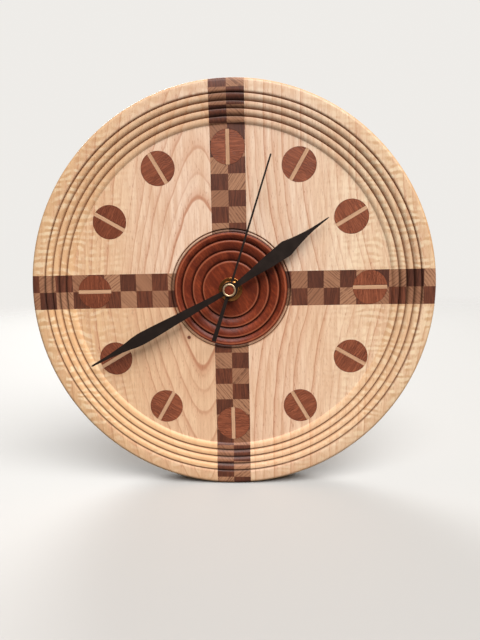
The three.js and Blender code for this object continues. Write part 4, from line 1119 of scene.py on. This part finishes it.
HOUR_STATIONS = [
    (3, 1.8), (10, 2.15), (20, 2.95), (27, 3.8), (34, 4.65), (42, 5.2), (46, 5.6), (48.5, 5.85),
    (50, 5.9), (51.5, 5.75), (54, 5.05), (58, 4.0), (62, 3.15), (66, 2.4), (70, 1.75), (74, 1.25),
    (78, 0.95), (82, 0.7), (86, 0.5), (88, 0.25),
]
MINUTE_STATIONS = [
    (3, 1.7), (20, 2.3), (29, 2.75), (38, 3.2), (46, 3.45), (54, 3.85), (62, 4.25), (70, 4.5),
    (74, 4.6), (76, 4.58), (78, 4.4), (82, 4.0), (86, 3.25), (90, 2.7), (94, 2.25), (98, 1.85),
    (102, 1.45), (106, 1.2), (114, 0.85), (117.6, 0.7), (118.8, 0.3),
]
hour_hand = blade(HOUR_STATIONS, HOUR_LOW, HOUR_LOW + SHEET, 5.2, 2.55, HOUR_TIME, (3.6, 28.7))
fit(hour_hand, "stamped_hour_hand", [BLACK_LACQUER], "hour_hand", flat=True)
minute_hand = blade(MINUTE_STATIONS, MINUTE_LOW, MINUTE_LOW + SHEET, 5.7, MINUTE_BORE, MINUTE_TIME)
fit(minute_hand, "stamped_minute_hand", [BLACK_LACQUER], "minute_hand", flat=True)

# %% [markdown]
# ## Seconds hand, cap and minute nut
# The seconds hand is a needle with a square tail that balances it. A brass ring
# with a red-brown wooden disc covers its hub. Under it a small round nut holds
# the minute hand.

# %% Seconds hand and its cap
SECONDS_STATIONS = [
    (-39, 1.6), (-4.7, 1.15), (0, 1.1), (4.7, 0.78), (40, 0.72), (98.6, 0.6), (99, 0.3),
]
CAP_LOW, CAP_TOP = SECONDS_LOW + 0.4, 39.0
INSERT, INSERT_TOP = 3.4, 38.5
MINUTE_NUT_TOP = 35.0
KNURLS = 48
seconds_hand = blade(SECONDS_STATIONS, SECONDS_LOW, CAP_LOW, 4.3, 0.55, SECONDS_TIME, (1.1, 35.4), 0)
fit(seconds_hand, "stamped_seconds_hand", [BLACK_LACQUER], "seconds_hand", flat=True)
fit(rounded_ring(4.7, 3.45, CAP_LOW, CAP_TOP, 0.35), "cap_ring", [PALE_BRASS], "seconds_cap")
disc_edge = (INSERT, INSERT_TOP - 0.2)
disc_outline = [(0, CAP_LOW), (INSERT, CAP_LOW), disc_edge]
disc_outline += quarter(disc_edge, (INSERT - 0.25, INSERT_TOP), 3, False)
disc_outline += [(0, INSERT_TOP)]
fit(lathe(disc_outline, RING_STEPS, closed=False), "cap_disc", [RED_WOOD], "seconds_insert")
knurl = [on_circle(3.2 if i % 2 else 3.0, math.tau * i / KNURLS) for i in range(KNURLS)]
minute_nut = plate(knurl, MINUTE_LOW + SHEET, MINUTE_NUT_TOP)
minute_nut = drill(minute_nut, MINUTE_BORE, MINUTE_LOW, MINUTE_NUT_TOP + 1, steps=KNURLS)
fit(minute_nut, "knurled_minute_nut", [BRASS], "minute_nut")

# %% [markdown]
# ## Copies of CAD pieces
# The housing, its lid, the setting knob and the steel hanger already have the
# right shape in the CAD model, but a moulding has no knife-sharp edges. A copy
# of each CAD mesh gets its loose triangles merged and its edges rounded.


# %% Copying helper
def from_cad(name):
    """A copy of a CAD node's mesh, in millimetres about the axis, with its triangles merged into faces."""
    bm = bmesh.new()
    bm.from_mesh(frame["nodes"][name].data)
    bmesh.ops.scale(bm, verts=bm.verts, vec=(1 / MM, 1 / MM, 1 / MM))
    bmesh.ops.translate(bm, verts=bm.verts, vec=(0, 0, HANG))
    bmesh.ops.remove_doubles(bm, verts=bm.verts, dist=0.002)
    bmesh.ops.dissolve_limit(bm, angle_limit=math.radians(0.5), verts=bm.verts, edges=bm.edges)
    return bm


lid_triangles = len(frame["nodes"]["movement_cover"].data.polygons)
print("triangles of the lid before merging:", lid_triangles)

# %% [markdown]
# ## The lid and its marks
# The lid has a sunk frame line, the plus and minus signs above the battery's
# ends, and an arc with an arrow that shows how the knob turns. The line is cut
# 0.25 mm deep, as the difference of a larger and a smaller rounded panel. A mark
# is a small solid that stands 0.35 mm proud, in a paler finish that is partly
# rubbed wear and partly a painted highlight for light catching its edges.

# %% Lid
KNOB = (-15.757, -2.778)
LID_BACK = 1.2
BAY_TOP = -11.2
LINE_DEPTH = 0.25
MARK_LOW, MARK_TOP = LID_BACK - 0.35, LID_BACK + 0.3
SIGN_HIGH = BAY_TOP + 4.8


def join(bm, other):
    """Adds a separate solid to a mesh, as a moulded mark that stands on its face, in the second finish."""
    for face in other.faces:
        face.material_index = 1
    mesh = bpy.data.meshes.new("joined")
    other.to_mesh(mesh)
    other.free()
    bm.from_mesh(mesh)
    bpy.data.meshes.remove(mesh)


def panel(half, low, top, radius, z_low, z_high):
    outline = []
    for x, z, start in (
        (half - radius, z_high - radius, 0), (radius - half, z_high - radius, 90),
        (radius - half, z_low + radius, 180), (half - radius, z_low + radius, 270),
    ):
        outline += [on_circle(radius, math.radians(start + 15 * i), x, z) for i in range(7)]
    return plate(outline, low, top)


def arc_arrow(inner, outer, start, end):
    steps, barb = 28, 0.7
    angles = [math.radians(start + (end - start) * i / steps) for i in range(steps + 1)]
    outline = [on_circle(outer, angle, *KNOB) for angle in angles]
    outline += [on_circle(outer + barb, angles[-1], *KNOB)]
    outline += [on_circle((inner + outer) / 2, math.radians(end) + 0.32, *KNOB)]
    outline += [on_circle(inner - barb, angles[-1], *KNOB)]
    outline += [on_circle(inner, angle, *KNOB) for angle in reversed(angles)]
    return plate(outline, MARK_LOW, MARK_TOP)


frame_line = combine(
    panel(25.0, LID_BACK - 1, LID_BACK + LINE_DEPTH, 2.4, BAY_TOP + 1.4, 25.4),
    panel(24.4, LID_BACK - 2, LID_BACK + LINE_DEPTH + 1, 1.8, BAY_TOP + 2.0, 24.8), "DIFFERENCE",
)
lid = eased(combine(from_cad("movement_cover"), frame_line, "DIFFERENCE"), 0.12)
join(lid, box((-23.0, -19.4), (MARK_LOW, MARK_TOP), (SIGN_HIGH - 0.4, SIGN_HIGH + 0.4)))
plus_sign = [
    (-0.4, -1.8), (0.4, -1.8), (0.4, -0.4), (1.8, -0.4), (1.8, 0.4), (0.4, 0.4),
    (0.4, 1.8), (-0.4, 1.8), (-0.4, 0.4), (-1.8, 0.4), (-1.8, -0.4), (-0.4, -0.4),
]
join(lid, plate([(21.2 + x, SIGN_HIGH + z) for x, z in plus_sign], MARK_LOW, MARK_TOP))
join(lid, arc_arrow(6.4, 7.2, 35, 150))
fit(lid, "moulded_lid", [BLACK_PLASTIC, PALER_MARK_PLASTIC], "movement_cover", flat=True)

# %% [markdown]
# ## Case, knob, hanger and rubber washer
# The case sits in the recess, and the white knob in its back sets the hands. The
# steel hanger and a rubber washer are clamped between the case and the wood. The
# first three are copies of their CAD shapes with eased edges. The washer is a
# plain ring, so it is turned again.

# %% Case, knob, hanger and rubber washer
case = eased(from_cad("movement_case"), 0.25, 3)
fit(case, "moulded_case", [BLACK_PLASTIC], "movement_case", flat=True)
knob = eased(from_cad("setting_knob"), 0.12)
fit(knob, "moulded_knob", [WHITE_PLASTIC], "setting_knob", flat=True)
hanger = eased(from_cad("hanger"), 0.12)
fit(hanger, "pressed_hanger", [STEEL], "hanger", flat=True)
fit(rounded_ring(10.0, 4.3, 17.2, 18.0, 0.25), "cut_rubber_washer", [RUBBER], "rubber_washer")

# %% [markdown]
# ## Battery
# A battery is a steel can with a printed sleeve shrunk over it. The sleeve curls
# over both ends, and the positive end carries a small nub. The whole outline is
# turned about the dial's axis and then laid along x, where the bay holds it.

# %% Battery
BAND_START, BAND_END = 16.0, 17.2
SLEEVE_EDGE = 6.3
CELL = 7.1
CELL_HEIGHT, CELL_Z = 7.6, -18.9


def lie_along_x(bm, height, z):
    turned(bm, 90, "Z")
    bmesh.ops.translate(bm, verts=bm.verts, vec=(0, -height, z))
    return bm


can_profile = [(0, -24.4), (5.9, -24.4), (6.1, -24.1), (6.4, -24.1), (6.6, -24.35), (6.95, -24.2)]
can_profile += [(CELL, -23.8), (CELL, BAND_START), (CELL, BAND_END), (CELL, 23.9), (6.95, 24.5)]
can_profile += [(6.6, 24.75), (6.2, 24.6), (6.0, 24.3), (3.1, 24.3), (2.9, 24.5), (2.7, 24.6)]
can_profile += [(2.7, 25.8), (2.45, 26.1), (0, 26.1)]
can = lathe(can_profile, RING_STEPS, closed=False)
for can_face in can.faces:
    middle = can_face.calc_center_median()
    if math.hypot(middle.x, middle.z) > SLEEVE_EDGE and -24.4 < -middle.y < 24.8:
        can_face.material_index = 2 if BAND_START < -middle.y < BAND_END else 0
    else:
        can_face.material_index = 1
can = lie_along_x(can, CELL_HEIGHT, CELL_Z)
fit(can, "sleeved_battery", [SLEEVE, ZINC, SLEEVE_BAND], "battery")

# %% [markdown]
# ## Inside the housing
# Nobody sees the motor and the wheels until the housing is opened, yet they turn.
# Their CAD shapes have every tooth and pivot. Copies with eased edges catch the
# light as pressed and moulded parts do. The wheels keep their CAD shapes.

# %% Motor parts
EASED = {
    "train_bridge": 0.1, "stator": 0.06, "circuit_board": 0.06, "contact_positive": 0.06,
    "contact_negative": 0.05, "rotor": 0.05,
}
for name, width in EASED.items():
    finish = FINISH_OF_SLOT[SLOT_OF_NODE[name]]
    fit(eased(from_cad(name), width), f"eased_{name}", [finish], name, flat=True)

# %% [markdown]
# ## The coil
# The coil of the motor is fine copper wire, wound between two flanges. Single
# turns of wire could be modelled, but they would be many faces that nobody
# sees. A turned outline with a ripple for each bundle of turns shows the same,
# and a square hole is cut through it for the core.

# %% Coil
TURNS = 18
FLANGE = 0.8
CORE_BORE = 1.2
CORE_HALF = 1.6
coil_low, coil_high = [Vector(c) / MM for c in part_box("coil")]
coil_middle = (coil_low + coil_high) / 2
coil_height, coil_z = -coil_middle.y, coil_middle.z + HANG
coil_radius = (coil_high.z - coil_low.z) / 2
first, last = coil_low.x + FLANGE, coil_high.x - FLANGE
winding = [(CORE_BORE, coil_low.x), (coil_radius, coil_low.x), (coil_radius, first)]
for i in range(TURNS):
    for share, deep in ((0.1, 0.75), (0.35, 0.5), (0.65, 0.5), (0.9, 0.75)):
        winding.append((coil_radius - deep, first + (last - first) * (i + share) / TURNS))
winding += [(coil_radius, last), (coil_radius, coil_high.x), (CORE_BORE, coil_high.x)]
wound = lie_along_x(lathe(winding, 64), coil_height, coil_z)
core = box(
    (first - 3, last + 3), (coil_height - CORE_HALF, coil_height + CORE_HALF),
    (coil_z - CORE_HALF, coil_z + CORE_HALF),
)
wound = combine(wound, core, "DIFFERENCE")
for wound_face in wound.faces:
    along = wound_face.calc_center_median().x
    wound_face.material_index = 1 if along < first + 0.01 or along > last - 0.01 else 0
fit(wound, "wound_coil", [COPPER, WHITE_PLASTIC], "coil")
print("coil from", round(first, 2), "to", round(last, 2), "radius", round(coil_radius, 2))

# %% [markdown]
# ## Finishes of the CAD nodes
# The wheels keep their CAD shapes and get their finishes. The nodes that a finer
# piece stands for get theirs too, so that no node is left bare.

# %% Finishes on CAD nodes
for name, slot in SLOT_OF_NODE.items():
    cad_piece = frame["nodes"][name]
    cad_piece.data.materials.clear()
    cad_piece.data.materials.append(FINISH_OF_SLOT[slot])
print("finished CAD nodes:", len(SLOT_OF_NODE))

# %% [markdown]
# ## Floor
# The clock stands on its rim on a plain pale floor. The floor is a round sheet
# that turns see-through far out, so it fades into the background with no line.
# The camera sees it paler than it is for the light that it throws back.

# %% Floor
floor_bm = bmesh.new()
bmesh.ops.create_circle(floor_bm, cap_ends=True, radius=4.0, segments=96)
bmesh.ops.translate(floor_bm, verts=floor_bm.verts, vec=(0, 0, (-HANG - DISC) * MM - 0.0001))
floor_mesh = bpy.data.meshes.new("floor")
floor_bm.to_mesh(floor_mesh)
floor_bm.free()
floor = bpy.data.objects.new("floor", floor_mesh)
bpy.context.scene.collection.objects.link(floor)

floor_finish, floor_tree, floor_shader, floor_place = material("floor_paint", 0.7)
floor_seen = node(floor_tree, "LightPath", out="Is Camera Ray")
floor_colour = mixed(floor_tree, floor_seen, (0.12, 0.114, 0.108, 1), (0.5, 0.49, 0.474, 1))
far = node(floor_tree, "VectorMath", {0: floor_place}, "Value", operation="LENGTH")
fade = span(floor_tree, far, 0.5, 2.6)
feed(floor_tree, floor_shader, {"Base Color": floor_colour})
clear = node(floor_tree, "BsdfTransparent")
blend = node(floor_tree, "MixShader", {0: fade, 1: floor_shader.outputs[0], 2: clear})
feed(floor_tree, floor_tree.nodes["Material Output"], {"Surface": blend})
floor_mesh.materials.append(floor_finish)
print("floor:", len(floor_mesh.polygons), "face")

# %% [markdown]
# ## Lamps
# One large soft lamp above, in front and to the right gives the soft shading of
# a room with a window. A small one behind keeps the back from going dark. Each
# looks at the middle of the dial.


# %% Lamps
def soft_lamp(name, place, energy, size, height=None):
    """A square lamp, or an oblong one if it has a height."""
    data = bpy.data.lights.new(name, "AREA")
    data.energy = energy
    data.size = size
    if height:
        data.shape, data.size_y = "RECTANGLE", height
    lamp = bpy.data.objects.new(name, data)
    bpy.context.scene.collection.objects.link(lamp)
    lamp.location = place
    aim = Vector((0, 0, -HANG * MM)) - lamp.location
    lamp.rotation_euler = aim.to_track_quat("-Z", "Y").to_euler()


soft_lamp("window_lamp", (2.1, -4.4, 6.2), 1195.0, 9.0, 5.5)
soft_lamp("rear_lamp", (-0.8, 2.4, 1.7), 70.0, 1.6)
print("lamps:", [lamp.name for lamp in bpy.data.lights])

# %% [markdown]
# ## Sky
# A dim warm sky fills the shadows. The camera sees a plain pale background in
# its place, and polished metal mirrors a sky that is bright overhead, so that it
# looks like metal in a light room.

# %% Sky
world = bpy.data.worlds.new("studio_sky")
bpy.context.scene.world = world
world.use_nodes = True
sky_tree = world.node_tree
upward = axes_of(sky_tree, node(sky_tree, "TexCoord", out="Generated"))["Z"]
sky = sky_tree.nodes["Background"]
glow = span(sky_tree, upward, -0.3, 1.0, 0.015, 0.24)
feed(sky_tree, sky, {"Color": (1, 0.94, 0.86, 1), "Strength": glow})
seen = node(sky_tree, "LightPath", out="Is Camera Ray")
mirrored = node(sky_tree, "LightPath", out="Is Glossy Ray")
through = node(sky_tree, "LightPath", out="Is Transmission Ray")
direct = maths(sky_tree, "MAXIMUM", seen, through)
overhead = span(sky_tree, upward, 0.1, 0.75, 0.1, 1.0)
backdrop = node(
    sky_tree, "Background",
    {"Color": (0.86, 0.84, 0.81, 1), "Strength": maths(sky_tree, "MAXIMUM", direct, overhead)},
)
shown = maths(sky_tree, "MAXIMUM", direct, mirrored)
choose = node(sky_tree, "MixShader", {0: shown, 1: sky.outputs[0], 2: backdrop})
feed(sky_tree, sky_tree.nodes["World Output"], {"Surface": choose})

bpy.context.scene.view_settings.view_transform = "Standard"
print("sky:", world.name)
